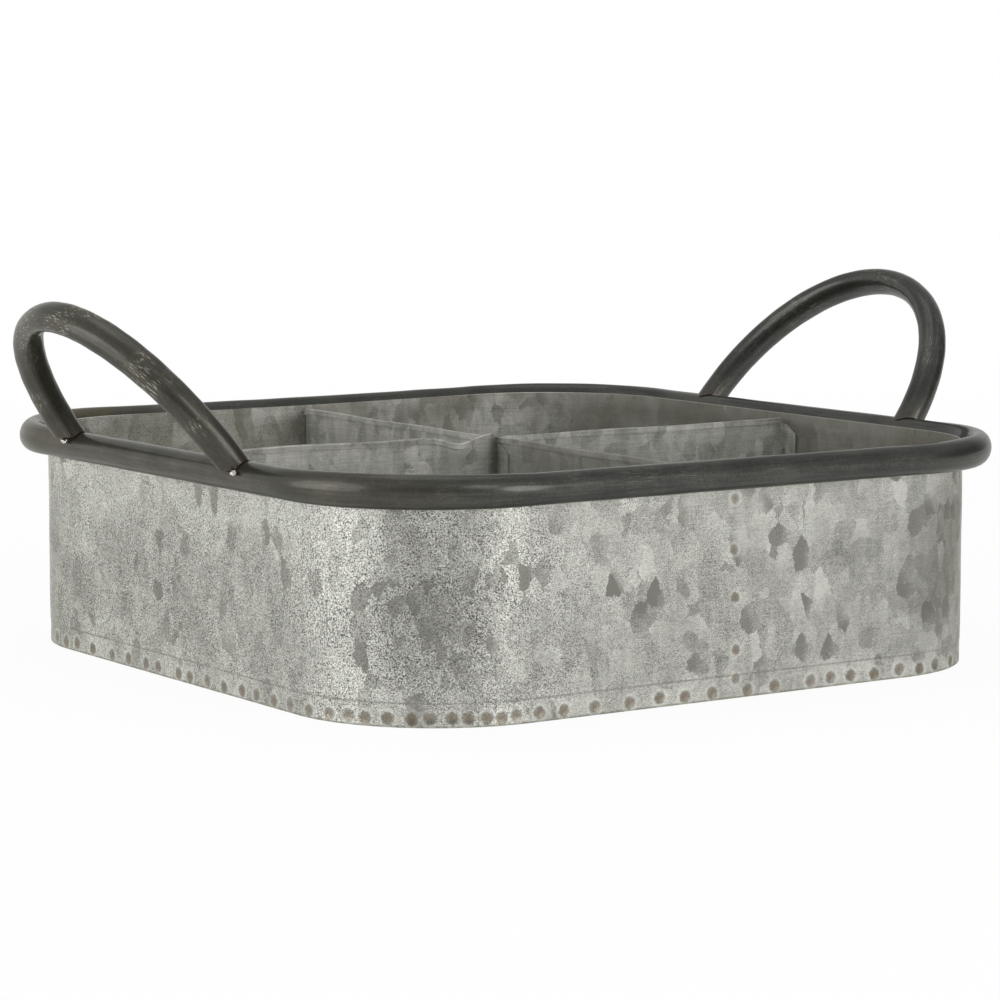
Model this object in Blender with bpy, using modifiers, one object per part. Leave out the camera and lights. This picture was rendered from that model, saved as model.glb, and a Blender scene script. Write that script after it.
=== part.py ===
"""Compartment tray of galvanised sheet with a round-bar rim and two bow handles.

Metres, +Z up. The origin is the middle of the body where it stands on the table.
The long divider runs along Y, the handles stand over the walls at -X (left) and +X (right).
"""
import math

import bmesh
import bpy
from mathutils import Vector

# Body: a band of sheet, measured over its outside
BODY_WIDTH = 0.305
BODY_DEPTH = 0.312
BODY_HEIGHT = 0.0902
CORNER_RADIUS = 0.062
WALL_SHEET = 0.0008

# Base: a raised floor with its flange turned down inside the band
FLOOR_HEIGHT = 0.009
BASE_SHEET = 0.0008
BASE_BEND_RADIUS = 0.0014

# Rim and handles: one stock of round bar
BAR_RADIUS = 0.006
RIM_DROP = 0.0028
CROWN_SQUASH = 0.155
SQUASH_POWER = 1.5
FRONT_LIP_RISE = 0.0026
REAR_LIP_RISE = 0.0042
LEFT_LEAN = math.radians(37.0)
LEFT_RISE = 0.0722
LEFT_SPAN = 0.1335
LEFT_SHIFT = 0.0025
RIGHT_LEAN = math.radians(38.4)
RIGHT_RISE = 0.0751
RIGHT_SPAN = 0.1373
RIGHT_SHIFT = -0.0032

# Weld beads at the handles' feet
BEAD_RADIUS = 0.0012
BEAD_LENGTH = 0.0034
FRONT_BEAD_RISE = 0.0021
REAR_BEAD_SHIFT = 0.0016

# Dividers: folded sheet with a hem on top, just below the top of the walls, and a flange at each end
DIVIDER_SHEET = 0.0006
DIVIDER_DROP = 0.0019
LEFT_DIVIDER_DROP = 0.0003
DIVIDER_BEND_RADIUS = 0.0008
FLANGE_WIDTH = 0.0100
FLANGE_CORNER_WIDTH = 0.0060
FLANGE_CORNER_DROP = 0.0040
HEM_DEPTH = 0.0025
HEM_GAP = 0.0003

# Gap left between pieces that touch, the reach of a cutter past what it cuts,
# and the distance under which the loose points of a curve's caps are one point
CLEARANCE = 0.0003
OVERRUN = 0.002
WELD_DISTANCE = 0.00001

# Steps of the round shapes
CORNER_STEPS = 16
BEND_STEPS = 5
BOW_STEPS = 44
BAR_RESOLUTION = 6
BAR_SIDES = 28
CUTTER_SIDES = 48
BEAD_SIDES = 16

# Sizes that follow from those above
RIM_HEIGHT = BODY_HEIGHT - RIM_DROP
RIM_OFFSET = CLEARANCE + BAR_RADIUS
RIM_X = BODY_WIDTH / 2 + RIM_OFFSET
INNER_X = BODY_WIDTH / 2 - WALL_SHEET
INNER_Y = BODY_DEPTH / 2 - WALL_SHEET
DIVIDER_BOTTOM = FLOOR_HEIGHT + CLEARANCE
DIVIDER_HEIGHT = BODY_HEIGHT - DIVIDER_DROP - DIVIDER_BOTTOM
LEFT_DIVIDER_HEIGHT = BODY_HEIGHT - LEFT_DIVIDER_DROP - DIVIDER_BOTTOM
SHOULDER_HEIGHT = DIVIDER_HEIGHT - HEM_DEPTH - CLEARANCE


def clear_scene():
    """Remove what the file opened with."""
    for obj in list(bpy.data.objects):
        bpy.data.objects.remove(obj, do_unlink=True)


def new_collection(name):
    """Make a collection and link it to the scene."""
    collection = bpy.data.collections.new(name)
    bpy.context.scene.collection.children.link(collection)
    return collection


def metal(name, colour, roughness, metallic):
    """Make a plain metal finish."""
    material = bpy.data.materials.new(name)
    material.use_nodes = True
    shader = material.node_tree.nodes["Principled BSDF"]
    shader.inputs["Base Color"].default_value = (*colour, 1)
    shader.inputs["Roughness"].default_value = roughness
    shader.inputs["Metallic"].default_value = metallic
    return material


def place(obj, collection, material=None):
    """Link an object to its collection and give it its finish."""
    collection.objects.link(obj)
    if material:
        obj.data.materials.append(material)
    return obj


def arc(centre, radius, start, end, steps):
    """Points along an arc in a plane, from one angle to another."""
    angles = [start + (end - start) * i / steps for i in range(steps + 1)]
    return [(centre[0] + radius * math.cos(a), centre[1] + radius * math.sin(a)) for a in angles]


def rounded_outline(half_width, half_depth, radius):
    """Outline of a rectangle with round corners, anticlockwise."""
    quarter = math.pi / 2
    points = []
    for turn, (sx, sy) in enumerate(((1, 1), (-1, 1), (-1, -1), (1, -1))):
        centre = (sx * (half_width - radius), sy * (half_depth - radius))
        points += arc(centre, radius, turn * quarter, (turn + 1) * quarter, CORNER_STEPS)
    return points


def body_outline(inset):
    """Outline of the body, drawn in by a distance from its outer face, or out where negative."""
    return rounded_outline(BODY_WIDTH / 2 - inset, BODY_DEPTH / 2 - inset, CORNER_RADIUS - inset)


def curve_object(name, dimensions, loops, cyclic):
    """Make a curve object of straight-segment splines."""
    curve = bpy.data.curves.new(name, "CURVE")
    curve.dimensions = dimensions
    for loop in loops:
        spline = curve.splines.new("POLY")
        spline.points.add(len(loop) - 1)
        for point, co in zip(spline.points, loop):
            point.co = (*Vector(co).to_3d(), 1)
        spline.use_cyclic_u = cyclic
    return bpy.data.objects.new(name, curve)


def prism(name, loops, bottom, top):
    """Make a flat outline, with any hole as a second loop, into a solid between two heights."""
    obj = curve_object(name, "2D", loops, True)
    obj.data.fill_mode = "BOTH"
    obj.data.extrude = (top - bottom) / 2
    obj.location.z = (top + bottom) / 2
    return obj


def moulding(name, section, start, end, height):
    """Make a section, drawn across and up, into a solid that runs along X at a height."""
    obj = prism(name, [section], start, end)
    obj.rotation_euler = (math.pi / 2, 0, math.pi / 2)
    obj.location = ((start + end) / 2, 0, height)
    return obj


def bar(name, path, cyclic):
    """Make a length of the round bar along a path."""
    obj = curve_object(name, "3D", [path], cyclic)
    obj.data.bevel_depth = BAR_RADIUS
    obj.data.bevel_resolution = BAR_RESOLUTION
    obj.data.use_fill_caps = not cyclic
    return obj


def as_mesh(obj, collection):
    """Turn a linked curve object into a mesh object of the same name with its caps joined on."""
    bpy.context.view_layer.update()
    evaluated = obj.evaluated_get(bpy.context.evaluated_depsgraph_get())
    mesh = bpy.data.meshes.new_from_object(evaluated)
    shape = bmesh.new()
    shape.from_mesh(mesh)
    bmesh.ops.remove_doubles(shape, verts=shape.verts, dist=WELD_DISTANCE)
    bmesh.ops.recalc_face_normals(shape, faces=shape.faces)
    shape.to_mesh(mesh)
    shape.free()
    name, place_in_world = obj.name, obj.matrix_world.copy()
    bpy.data.objects.remove(obj, do_unlink=True)
    solid = bpy.data.objects.new(name, mesh)
    solid.matrix_world = place_in_world
    return place(solid, collection)


def as_cutter(obj):
    """Mark an object as a cutter, which is no piece of the tray."""
    obj.hide_render = True
    obj.display_type = "WIRE"
    return obj


def combine(obj, other, operation):
    """Cut an object with another, or join the other to it."""
    modifier = obj.modifiers.new(other.name, "BOOLEAN")
    modifier.operation = operation
    modifier.object = other
    modifier.solver = "EXACT"


def round_over(obj, radius):
    """Round the sharp edges of an object."""
    modifier = obj.modifiers.new("bend", "BEVEL")
    modifier.width = radius
    modifier.segments = BEND_STEPS
    modifier.limit_method = "ANGLE"
    modifier.angle_limit = math.radians(60)


def make_wall_band(parts, zinc):
    """The band of sheet that makes the four walls."""
    outlines = [body_outline(0), body_outline(WALL_SHEET)]
    return place(prism("wall_band", outlines, 0, BODY_HEIGHT), parts, zinc)


def make_base_pan(parts, cutters, zinc):
    """The raised floor, with its flange turned down inside the band."""
    outside = WALL_SHEET + CLEARANCE
    outer_bend = BASE_BEND_RADIUS + BASE_SHEET
    # Block and hollow both start below the table, so that only their top edges are rounded
    below = -2 * outer_bend
    block = prism("base_pan", [body_outline(outside)], below, FLOOR_HEIGHT)
    pan = as_mesh(place(block, parts), parts)
    pan.data.materials.append(zinc)
    round_over(pan, outer_bend)

    outline = body_outline(outside + BASE_SHEET)
    hollow = prism("base_hollow", [outline], 2 * below, FLOOR_HEIGHT - BASE_SHEET)
    hollow = as_cutter(as_mesh(place(hollow, cutters), cutters))
    round_over(hollow, BASE_BEND_RADIUS)
    combine(pan, hollow, "DIFFERENCE")

    trim = prism("base_trim", [body_outline(0)], 3 * below, 0)
    combine(pan, as_cutter(as_mesh(place(trim, cutters), cutters)), "DIFFERENCE")
    return pan


def flanged_outline(length):
    """Plan of a divider from above: a straight web with both end flanges turned to the same side."""
    sheet = DIVIDER_SHEET
    outer = DIVIDER_BEND_RADIUS + sheet
    near, far = (outer, outer), (length - outer, outer)
    down, right, left = -math.pi / 2, 0, -math.pi
    points = [(0, FLANGE_WIDTH)]
    points += arc(near, outer, left, down, BEND_STEPS)
    points += arc(far, outer, down, right, BEND_STEPS)
    points += [(length, FLANGE_WIDTH), (length - sheet, FLANGE_WIDTH)]
    points += arc(far, DIVIDER_BEND_RADIUS, right, down, BEND_STEPS)
    points += arc(near, DIVIDER_BEND_RADIUS, down, left, BEND_STEPS)
    points += [(sheet, FLANGE_WIDTH)]
    return points


def hem_outline(side, root):
    """Section of the hem, with the top of the fold at zero height: the sheet folded over on itself.

    The sheet folds to +Y where side is 1 and to -Y where it is -1, and reaches down to its root.
    """
    sheet, loop = DIVIDER_SHEET, HEM_GAP / 2
    fold = sheet + loop
    # Drawn for a web whose folding face is at zero, then moved onto the web
    points = [(-sheet, -root)]
    points += arc((loop, -fold), fold, math.pi, 0, 2 * BEND_STEPS)
    points += [(HEM_GAP + sheet, -HEM_DEPTH), (HEM_GAP, -HEM_DEPTH)]
    points += arc((loop, -fold), loop, 0, math.pi, BEND_STEPS)
    points += [(0, -root)]
    face = sheet if side > 0 else 0
    return [(face + side * across, up) for across, up in points]


def make_divider(name, length, height, hem_side, parts, cutters, zinc):
    """One divider, standing along +X from its origin with its flanges turned to +Y."""
    outline = flanged_outline(length)
    web = as_mesh(place(prism(name, [outline], 0, SHOULDER_HEIGHT), parts), parts)
    web.data.materials.append(zinc)

    # The hem runs along the straight of the web, between the two bends
    bend = DIVIDER_BEND_RADIUS + DIVIDER_SHEET
    section = hem_outline(hem_side, height - SHOULDER_HEIGHT + bend)
    hem = moulding(name + "_hem", section, bend, length - bend, height)
    hem = as_cutter(as_mesh(place(hem, cutters), cutters))
    combine(web, hem, "UNION")

    # The flanges' top corners are snipped off at a slant
    inner = FLANGE_WIDTH - FLANGE_CORNER_WIDTH
    outer = FLANGE_WIDTH + OVERRUN
    corner = [(inner, 0), (FLANGE_WIDTH, -FLANGE_CORNER_DROP), (outer, -FLANGE_CORNER_DROP)]
    corner += [(outer, OVERRUN), (inner, OVERRUN)]
    snip = moulding(name + "_snip", corner, -OVERRUN, length + OVERRUN, SHOULDER_HEIGHT)
    snip = as_cutter(as_mesh(place(snip, cutters), cutters))
    combine(web, snip, "DIFFERENCE")
    return [web, hem, snip]


def stand_divider(pieces, x, y, turn):
    """Stand a divider on the floor at a place and turned about Z."""
    stand = bpy.data.objects.new(pieces[0].name + "_stand", None)
    pieces[0].users_collection[0].objects.link(stand)
    stand.location = (x, y, DIVIDER_BOTTOM)
    stand.rotation_euler.z = turn
    for piece in pieces:
        piece.parent = stand


def make_dividers(parts, cutters, zinc):
    """The long divider across the tray and the two short ones that meet it in the middle."""
    half_sheet = DIVIDER_SHEET / 2
    reach_x, reach_y = INNER_X - CLEARANCE, INNER_Y - CLEARANCE
    middle = half_sheet + CLEARANCE
    short = reach_x - middle

    long_divider = make_divider(
        "long_divider", 2 * reach_y, DIVIDER_HEIGHT, -1, parts, cutters, zinc)
    stand_divider(long_divider, -half_sheet, reach_y, -math.pi / 2)
    right = make_divider("short_divider_right", short, DIVIDER_HEIGHT, 1, parts, cutters, zinc)
    stand_divider(right, reach_x, half_sheet, math.pi)
    left = make_divider("short_divider_left", short, LEFT_DIVIDER_HEIGHT, 1, parts, cutters, zinc)
    stand_divider(left, -middle, half_sheet, math.pi)


def make_rim_ring(parts, iron):
    """The ring of round bar around the outside of the band, its middle just below the band's top edge."""
    path = [(x, y, RIM_HEIGHT) for x, y in body_outline(-RIM_OFFSET)]
    return place(bar("rim_ring", path, True), parts, iron)


def bow_rings(side, lean, rise, span, shift):
    """Rings of points along a handle: half an ellipse that leans out from the rim.

    The bar is round at the feet and is squashed into an oval towards the crown, where it was bent hardest.
    """
    outward = Vector((side * math.sin(lean), 0, math.cos(lean)))
    across = Vector((side * math.cos(lean), 0, -math.sin(lean)))
    along_rim = Vector((0, 1, 0))
    foot_line = Vector((side * RIM_X, shift, RIM_HEIGHT))
    rings = []
    for i in range(BOW_STEPS + 1):
        angle = math.pi * i / BOW_STEPS
        up, beside = math.sin(angle), math.cos(angle)
        centre = foot_line + outward * rise * up + along_rim * span / 2 * beside
        normal = (outward * span / 2 * up + along_rim * rise * beside).normalized()
        squash = CROWN_SQUASH * up ** SQUASH_POWER
        wide = across * BAR_RADIUS * (1 + squash)
        deep = normal * BAR_RADIUS * (1 - squash)
        turns = [2 * math.pi * j / BAR_SIDES for j in range(BAR_SIDES)]
        rings.append([centre + wide * math.cos(turn) + deep * math.sin(turn) for turn in turns])
    return rings


def swept(name, rings):
    """Make rings of points into a solid with flat ends."""
    shape = bmesh.new()
    loops = [[shape.verts.new(point) for point in ring] for ring in rings]
    for near, far in zip(loops, loops[1:]):
        for i in range(len(near)):
            shape.faces.new((near[i - 1], near[i], far[i], far[i - 1]))
    shape.faces.new(loops[0])
    shape.faces.new(loops[-1])
    bmesh.ops.recalc_face_normals(shape, faces=shape.faces)
    mesh = bpy.data.meshes.new(name)
    shape.to_mesh(mesh)
    shape.free()
    return bpy.data.objects.new(name, mesh)


def make_handle(name, side, lean, rise, span, shift, parts, cutters, iron):
    """One bow handle, its feet sawn level and hollowed to sit on the rim."""
    handle = place(swept(name, bow_rings(side, lean, rise, span, shift)), parts, iron)
    handle.data.shade_smooth()
    handle.data.set_sharp_from_angle(angle=math.radians(40))
    reach = span + 6 * BAR_RADIUS

    bpy.ops.mesh.primitive_cylinder_add(
        vertices=CUTTER_SIDES, radius=BAR_RADIUS + CLEARANCE, depth=reach,
        location=(side * RIM_X, shift, RIM_HEIGHT), rotation=(math.pi / 2, 0, 0))
    cope = move_to(bpy.context.object, name + "_cope", cutters)
    combine(handle, as_cutter(cope), "DIFFERENCE")

    depth = 4 * BAR_RADIUS
    for foot, end, lip_rise in (("front", -1, FRONT_LIP_RISE), ("rear", 1, REAR_LIP_RISE)):
        middle = (side * RIM_X, shift + end * reach / 4, RIM_HEIGHT + lip_rise - depth / 2)
        bpy.ops.mesh.primitive_cube_add(size=1, location=middle)
        saw = move_to(bpy.context.object, name + "_" + foot + "_saw", cutters)
        saw.scale = (2 * reach, reach / 2, depth)
        combine(handle, as_cutter(saw), "DIFFERENCE")
    return handle


def move_to(obj, name, collection):
    """Name an object that an operator made and move it to a collection."""
    obj.name = name
    for old in list(obj.users_collection):
        old.objects.unlink(obj)
    collection.objects.link(obj)
    return obj


def bead_reach(rise):
    """How far out from the rim's centre line a bead lies that touches the bar at a height."""
    reach = BAR_RADIUS + CLEARANCE + BEAD_RADIUS
    return math.sqrt(reach ** 2 - rise ** 2)


def make_bead(name, side, y, rise, parts, bright):
    """A bead of weld on the outer side of the rim."""
    shape = bmesh.new()
    bmesh.ops.create_uvsphere(shape, u_segments=BEAD_SIDES, v_segments=BEAD_SIDES // 2, radius=1)
    bmesh.ops.scale(shape, vec=(BEAD_RADIUS, BEAD_LENGTH / 2, BEAD_RADIUS), verts=shape.verts)
    mesh = bpy.data.meshes.new(name)
    shape.to_mesh(mesh)
    shape.free()
    mesh.shade_smooth()
    bead = place(bpy.data.objects.new(name, mesh), parts, bright)
    bead.location = (side * (RIM_X + bead_reach(rise)), y, RIM_HEIGHT + rise)
    return bead


def make_handles(parts, cutters, iron, bright):
    """Both handles, each with a weld bead at its front and its rear foot."""
    handles = (
        ("left", -1, LEFT_LEAN, LEFT_RISE, LEFT_SPAN, LEFT_SHIFT),
        ("right", 1, RIGHT_LEAN, RIGHT_RISE, RIGHT_SPAN, RIGHT_SHIFT),
    )
    for word, side, lean, rise, span, shift in handles:
        make_handle("handle_" + word, side, lean, rise, span, shift, parts, cutters, iron)
        # The front bead fills the corner between the leg and the rim, and the rear one is under the leg's lip
        along = bead_reach(FRONT_BEAD_RISE) * math.sin(lean) + FRONT_BEAD_RISE * math.cos(lean)
        front = shift - span / 2 - along - (BEAD_LENGTH / 2 - BEAD_RADIUS)
        make_bead("weld_bead_" + word + "_front", side, front, FRONT_BEAD_RISE, parts, bright)
        rear = shift + span / 2 - REAR_BEAD_SHIFT
        rear_rise = REAR_LIP_RISE - CLEARANCE - BEAD_RADIUS
        make_bead("weld_bead_" + word + "_rear", side, rear, rear_rise, parts, bright)


def main():
    """Build the tray."""
    clear_scene()
    parts = new_collection("compartment_tray")
    cutters = new_collection("cutters")
    zinc = metal("galvanised_sheet", (0.52, 0.52, 0.49), 0.5, 0.8)
    iron = metal("black_iron_bar", (0.09, 0.09, 0.085), 0.45, 0.9)
    bright = metal("weld_metal", (0.72, 0.72, 0.70), 0.35, 1)
    make_wall_band(parts, zinc)
    make_base_pan(parts, cutters, zinc)
    make_dividers(parts, cutters, zinc)
    make_rim_ring(parts, iron)
    make_handles(parts, cutters, iron, bright)


main()
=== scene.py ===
"""Scene of a compartment tray: a galvanised sheet body and dividers with a black bar rim and handles.

Lengths are in metres unless a name ends in _mm. The origin is the middle of the body where it stands,
the long divider runs along Y, and the handles stand over the walls at -X (left) and +X (right).
"""
import logging
import math
from collections.abc import Callable, Sequence
from dataclasses import dataclass
from enum import Enum

import bmesh
import bpy
import numpy as np
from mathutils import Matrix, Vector


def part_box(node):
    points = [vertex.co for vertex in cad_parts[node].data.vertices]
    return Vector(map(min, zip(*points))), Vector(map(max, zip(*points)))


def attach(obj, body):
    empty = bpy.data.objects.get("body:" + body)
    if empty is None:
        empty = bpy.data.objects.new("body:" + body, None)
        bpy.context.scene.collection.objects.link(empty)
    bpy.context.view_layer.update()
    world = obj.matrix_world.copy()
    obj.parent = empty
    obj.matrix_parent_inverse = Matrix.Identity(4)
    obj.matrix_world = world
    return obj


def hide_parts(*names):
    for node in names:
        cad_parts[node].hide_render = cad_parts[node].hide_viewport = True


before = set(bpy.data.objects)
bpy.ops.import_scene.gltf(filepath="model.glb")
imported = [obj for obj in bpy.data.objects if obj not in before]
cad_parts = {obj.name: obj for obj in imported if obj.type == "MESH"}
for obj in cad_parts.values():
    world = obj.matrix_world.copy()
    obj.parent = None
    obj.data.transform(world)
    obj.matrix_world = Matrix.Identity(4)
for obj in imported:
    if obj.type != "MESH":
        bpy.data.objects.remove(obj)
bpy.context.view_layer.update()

LOG = logging.getLogger("compartment_tray")
MM = 0.001
TO_MM = 1000.0
# What the meshes carry for the finishes
WELD_MARK = "weld_mark"
BAR_PLACE = "bar_place"
BAR_SIDE = "bar_side"
INNER_FACE = "inner_face"
WHITE = (1.0, 1.0, 1.0, 1.0)

Tree = bpy.types.NodeTree
Node = bpy.types.Node
Socket = bpy.types.NodeSocket
Piece = bpy.types.Object
Pattern = Node | Socket | float
Point = tuple[float, float, float]


# ---- Colour and nodes

# Settings that many nodes have
TIMES = {"operation": "MULTIPLY"}
TIMES_PLUS = {"operation": "MULTIPLY_ADD"}
MINUS = {"operation": "SUBTRACT"}
SMALLER = {"operation": "MINIMUM"}
LARGER = {"operation": "MAXIMUM"}
STRETCH = {"operation": "SCALE"}
SOFTLY = {"interpolation_type": "SMOOTHSTEP"}


def linear(code: str) -> tuple[float, float, float, float]:
    """Turn an sRGB hex colour into a linear one.

    Args:
        code: The colour as #RRGGBB.

    Returns:
        Red, green, blue and an alpha of 1.
    """
    parts = [int(code[i:i + 2], 16) / 255 for i in (1, 3, 5)]
    red, green, blue = (p / 12.92 if p <= 0.04045 else ((p + 0.055) / 1.055) ** 2.4 for p in parts)
    return red, green, blue, 1.0


def add(tree: Tree, kind: str, inputs: dict | tuple = (), **settings: object) -> Node:
    """Add a node with its settings and its links.

    Args:
        tree: The node tree it goes in.
        kind: The node's type, without its "ShaderNode" prefix.
        inputs: What goes into the inputs, by name, by number or in order: a node (its first live output),
            a socket or a value.
        settings: The node's own properties.

    Returns:
        The new node.
    """
    node = tree.nodes.new("ShaderNode" + kind)
    for name, value in settings.items():
        setattr(node, name, value)
    for key, value in (inputs if isinstance(inputs, dict) else dict(enumerate(inputs))).items():
        socket = node.inputs[key] if isinstance(key, int) else next(
            s for s in node.inputs if s.name == key and s.enabled)
        if isinstance(value, Node):
            tree.links.new(next(s for s in value.outputs if s.enabled), socket)
        elif isinstance(value, Socket):
            tree.links.new(value, socket)
        else:
            socket.default_value = value
    return node


def weigh(tree: Tree, middle: float, *patterns: tuple[Pattern, float]) -> Node:
    """Add patterns up, each swinging about a half, to a tone that swings about its own middle.

    Args:
        tree: The node tree.
        middle: The tone where every pattern is a half.
        patterns: Each pattern, and its weight.

    Returns:
        The node that gives the tone.
    """
    total = middle - sum(weight for _, weight in patterns) / 2
    for pattern, weight in patterns:
        total = add(tree, "Math", (pattern, weight, total), **TIMES_PLUS)
    return total


def film(tree: Tree, colour: Node | tuple[float, ...], code: str, *shares: Pattern) -> Node:
    """Lay a film of one colour over the colours so far, as thick as the product of its shares.

    Args:
        tree: The node tree.
        colour: The colours so far, or the one colour that it starts from.
        code: The film's colour as #RRGGBB.
        shares: What says where the film lies, each from 0 to 1.

    Returns:
        The new colours.
    """
    amount = shares[0]
    for share in shares[1:]:
        amount = add(tree, "Math", (amount, share), **TIMES)
    return add(tree, "Mix", {"Factor": amount, "A": colour, "B": linear(code)}, data_type="RGBA")


def shake(tree: Tree, place: Node, reach: float, **noise: float) -> Node:
    """Shift the place that a pattern is read at by a noise, so that its borders run crooked.

    Args:
        tree: The node tree.
        place: The place.
        reach: How far the noise shifts it.
        noise: The noise's settings.

    Returns:
        The crooked place.
    """
    bend = add(tree, "TexNoise", {"Vector": place, **noise}).outputs["Color"]
    bend = add(tree, "VectorMath", (bend, (0.5, 0.5, 0.5)), **MINUS)
    bend = add(tree, "VectorMath", {0: bend, "Scale": reach}, **STRETCH)
    return add(tree, "VectorMath", (place, bend))


def new_material(name: str) -> tuple[bpy.types.Material, Tree]:
    """Make a material with an empty tree.

    Args:
        name: The material's name.

    Returns:
        The material and its tree.
    """
    material = bpy.data.materials.new(name)
    material.use_nodes = True
    material.node_tree.nodes.clear()
    return material, material.node_tree


# ---- Meshes


def new_object(name: str, data: bpy.types.ID) -> Piece:
    """Make an object of a mesh, a lamp or a camera.

    Args:
        name: The object's name.
        data: What it shows.

    Returns:
        The object, linked to the scene.
    """
    made = bpy.data.objects.new(name, data)
    bpy.context.scene.collection.objects.link(made)
    return made


def from_shape(name: str, shape: bmesh.types.BMesh) -> Piece:
    """Turn an edited shape into an object of its own.

    Args:
        name: The object's name.
        shape: The shape, which is freed.

    Returns:
        The object, linked to the scene.
    """
    mesh = bpy.data.meshes.new(name)
    shape.to_mesh(mesh)
    shape.free()
    return new_object(name, mesh)


def make_piece(name: str, points: np.ndarray, faces: np.ndarray, sharp_degrees: float = 50) -> Piece:
    """Make a smooth-shaded mesh object whose faces point outward.

    Args:
        name: The piece's name.
        points: Vertex places, one row each.
        faces: Corner numbers, four to a row; a triangle repeats its last corner.
        sharp_degrees: Edges that turn by more than this stay sharp.

    Returns:
        The object, linked to the scene.
    """
    corners = points[faces]
    across = np.cross(corners[:, 2] - corners[:, 0], corners[:, 3] - corners[:, 1])
    if (corners.mean(1) * across).sum() < 0:
        faces = faces[:, ::-1]
    listed = [row[:1] + [b for a, b in zip(row, row[1:]) if a != b] for row in faces.tolist()]
    listed = [row[:-1] if row[0] == row[-1] else row for row in listed]
    mesh = bpy.data.meshes.new(name)
    mesh.from_pydata(points.tolist(), [], listed)
    mesh.validate()
    mesh.shade_smooth()
    mesh.set_sharp_from_angle(angle=math.radians(sharp_degrees))
    return new_object(name, mesh)


def grid_faces(rows: int, columns: int, closed_rows: bool, closed_columns: bool) -> np.ndarray:
    """Faces of a grid of points numbered row by row.

    Args:
        rows: How many rows of points.
        columns: How many points in each row.
        closed_rows: Whether the last row joins the first.
        closed_columns: Whether the last column joins the first.

    Returns:
        Corner numbers, four to a row.
    """
    i = np.arange(rows if closed_rows else rows - 1)[:, None]
    j = np.arange(columns if closed_columns else columns - 1)[None, :]
    below, beside = (i + 1) % rows, (j + 1) % columns
    quads = [i * columns + j, i * columns + beside, below * columns + beside, below * columns + j]
    return np.stack([np.broadcast_to(q, (i.size, j.size)) for q in quads], -1).reshape(-1, 4)


def fan(ring: np.ndarray, middle: int, turned: bool) -> np.ndarray:
    """Faces from a ring of points to one point in its middle.

    Args:
        ring: The numbers of the ring's points.
        middle: The number of the middle point.
        turned: Whether the faces look the other way.

    Returns:
        Corner numbers, four to a row.
    """
    beside, hub = np.roll(ring, -1), np.full(ring.size, middle)
    return np.stack([beside, ring, hub, hub] if turned else [ring, beside, hub, hub], 1)


def put_attribute(piece: Piece, name: str, values: np.ndarray) -> None:
    """Store a number or a vector at each vertex, for a material to read.

    Args:
        piece: The mesh object.
        name: The attribute's name.
        values: One row a vertex.
    """
    flat = values.ndim == 1
    made = piece.data.attributes.new(name, "FLOAT" if flat else "FLOAT_VECTOR", "POINT")
    made.data.foreach_set("value" if flat else "vector", values.astype(np.float32).ravel())


def waves(places: np.ndarray, lengths_mm: tuple[float, ...], seed: int) -> np.ndarray:
    """A smooth random field between about -1 and 1, such as the waviness of rolled sheet.

    Args:
        places: Where it is read, in metres, one row each.
        lengths_mm: Wavelengths that are added up.
        seed: Which field.

    Returns:
        One value a place.
    """
    draw = np.random.default_rng(seed)
    circle = 2 * math.pi
    total = np.zeros(len(places))
    for length in lengths_mm:
        for _ in range(3):
            way = draw.normal(size=places.shape[1])
            way /= np.linalg.norm(way)
            total += np.sin(places @ way * (circle / (length * MM)) + draw.uniform(0, circle))
    usual_peak = 2.2 * math.sqrt(len(lengths_mm))
    return total / usual_peak


def smooth_step(values: np.ndarray, start: float, end: float) -> np.ndarray:
    """Rise smoothly from 0 at one value to 1 at another.

    Args:
        values: The values to read it at.
        start: Where it is 0.
        end: Where it is 1.

    Returns:
        One share a value.
    """
    share = np.clip((values - start) / (end - start), 0, 1)
    return share * share * (3 - 2 * share)


# ---- The body's plan and its spot welds


@dataclass(frozen=True)
class Plan:
    """The body seen from above: a rectangle with round corners.

    It is walked from the middle of the left wall towards the front, and so round to where it began.
    """

    half_width: float
    half_depth: float
    radius: float

    @property
    def length(self) -> float:
        """The way round the outside."""
        straights = 4 * (self.half_width - self.radius) + 4 * (self.half_depth - self.radius)
        return straights + 2 * math.pi * self.radius

    def at(self, places: np.ndarray) -> tuple[np.ndarray, np.ndarray]:
        """Points on the outside, and the way that the wall faces there.

        Args:
            places: Distances along the walk, in metres.

        Returns:
            Points and outward unit vectors, both with a Z of 0.
        """
        s = np.asarray(places) % self.length
        x, y = self.half_width - self.radius, self.half_depth - self.radius
        quarter = self.radius * math.pi / 2
        # Each stretch: its length, whether it bends, its starting corner's middle, and its facing in quarter turns
        stretches = [(y, False, (-x, 0), 2), (quarter, True, (-x, -y), 2), (2 * x, False, (-x, -y), 3),
                     (quarter, True, (x, -y), 3), (2 * y, False, (x, -y), 4), (quarter, True, (x, y), 4),
                     (2 * x, False, (x, y), 5), (quarter, True, (-x, y), 5), (y, False, (-x, y), 6)]
        points, facing = np.zeros((s.size, 3)), np.zeros((s.size, 3))
        start = 0.0
        for length, bends, middle, turn in stretches:
            here = (s >= start) & (s <= start + length)
            along = s[here] - start
            angle = turn * math.pi / 2 + (along / self.radius if bends else 0 * along)
            out = np.stack([np.cos(angle), np.sin(angle), 0 * angle], 1)
            ahead = np.stack([-out[:, 1], out[:, 0], 0 * angle], 1)
            run = 0 * along if bends else along
            points[here] = np.array([*middle, 0]) + self.radius * out + run[:, None] * ahead
            facing[here] = out
            start += length
        return points, facing


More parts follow.
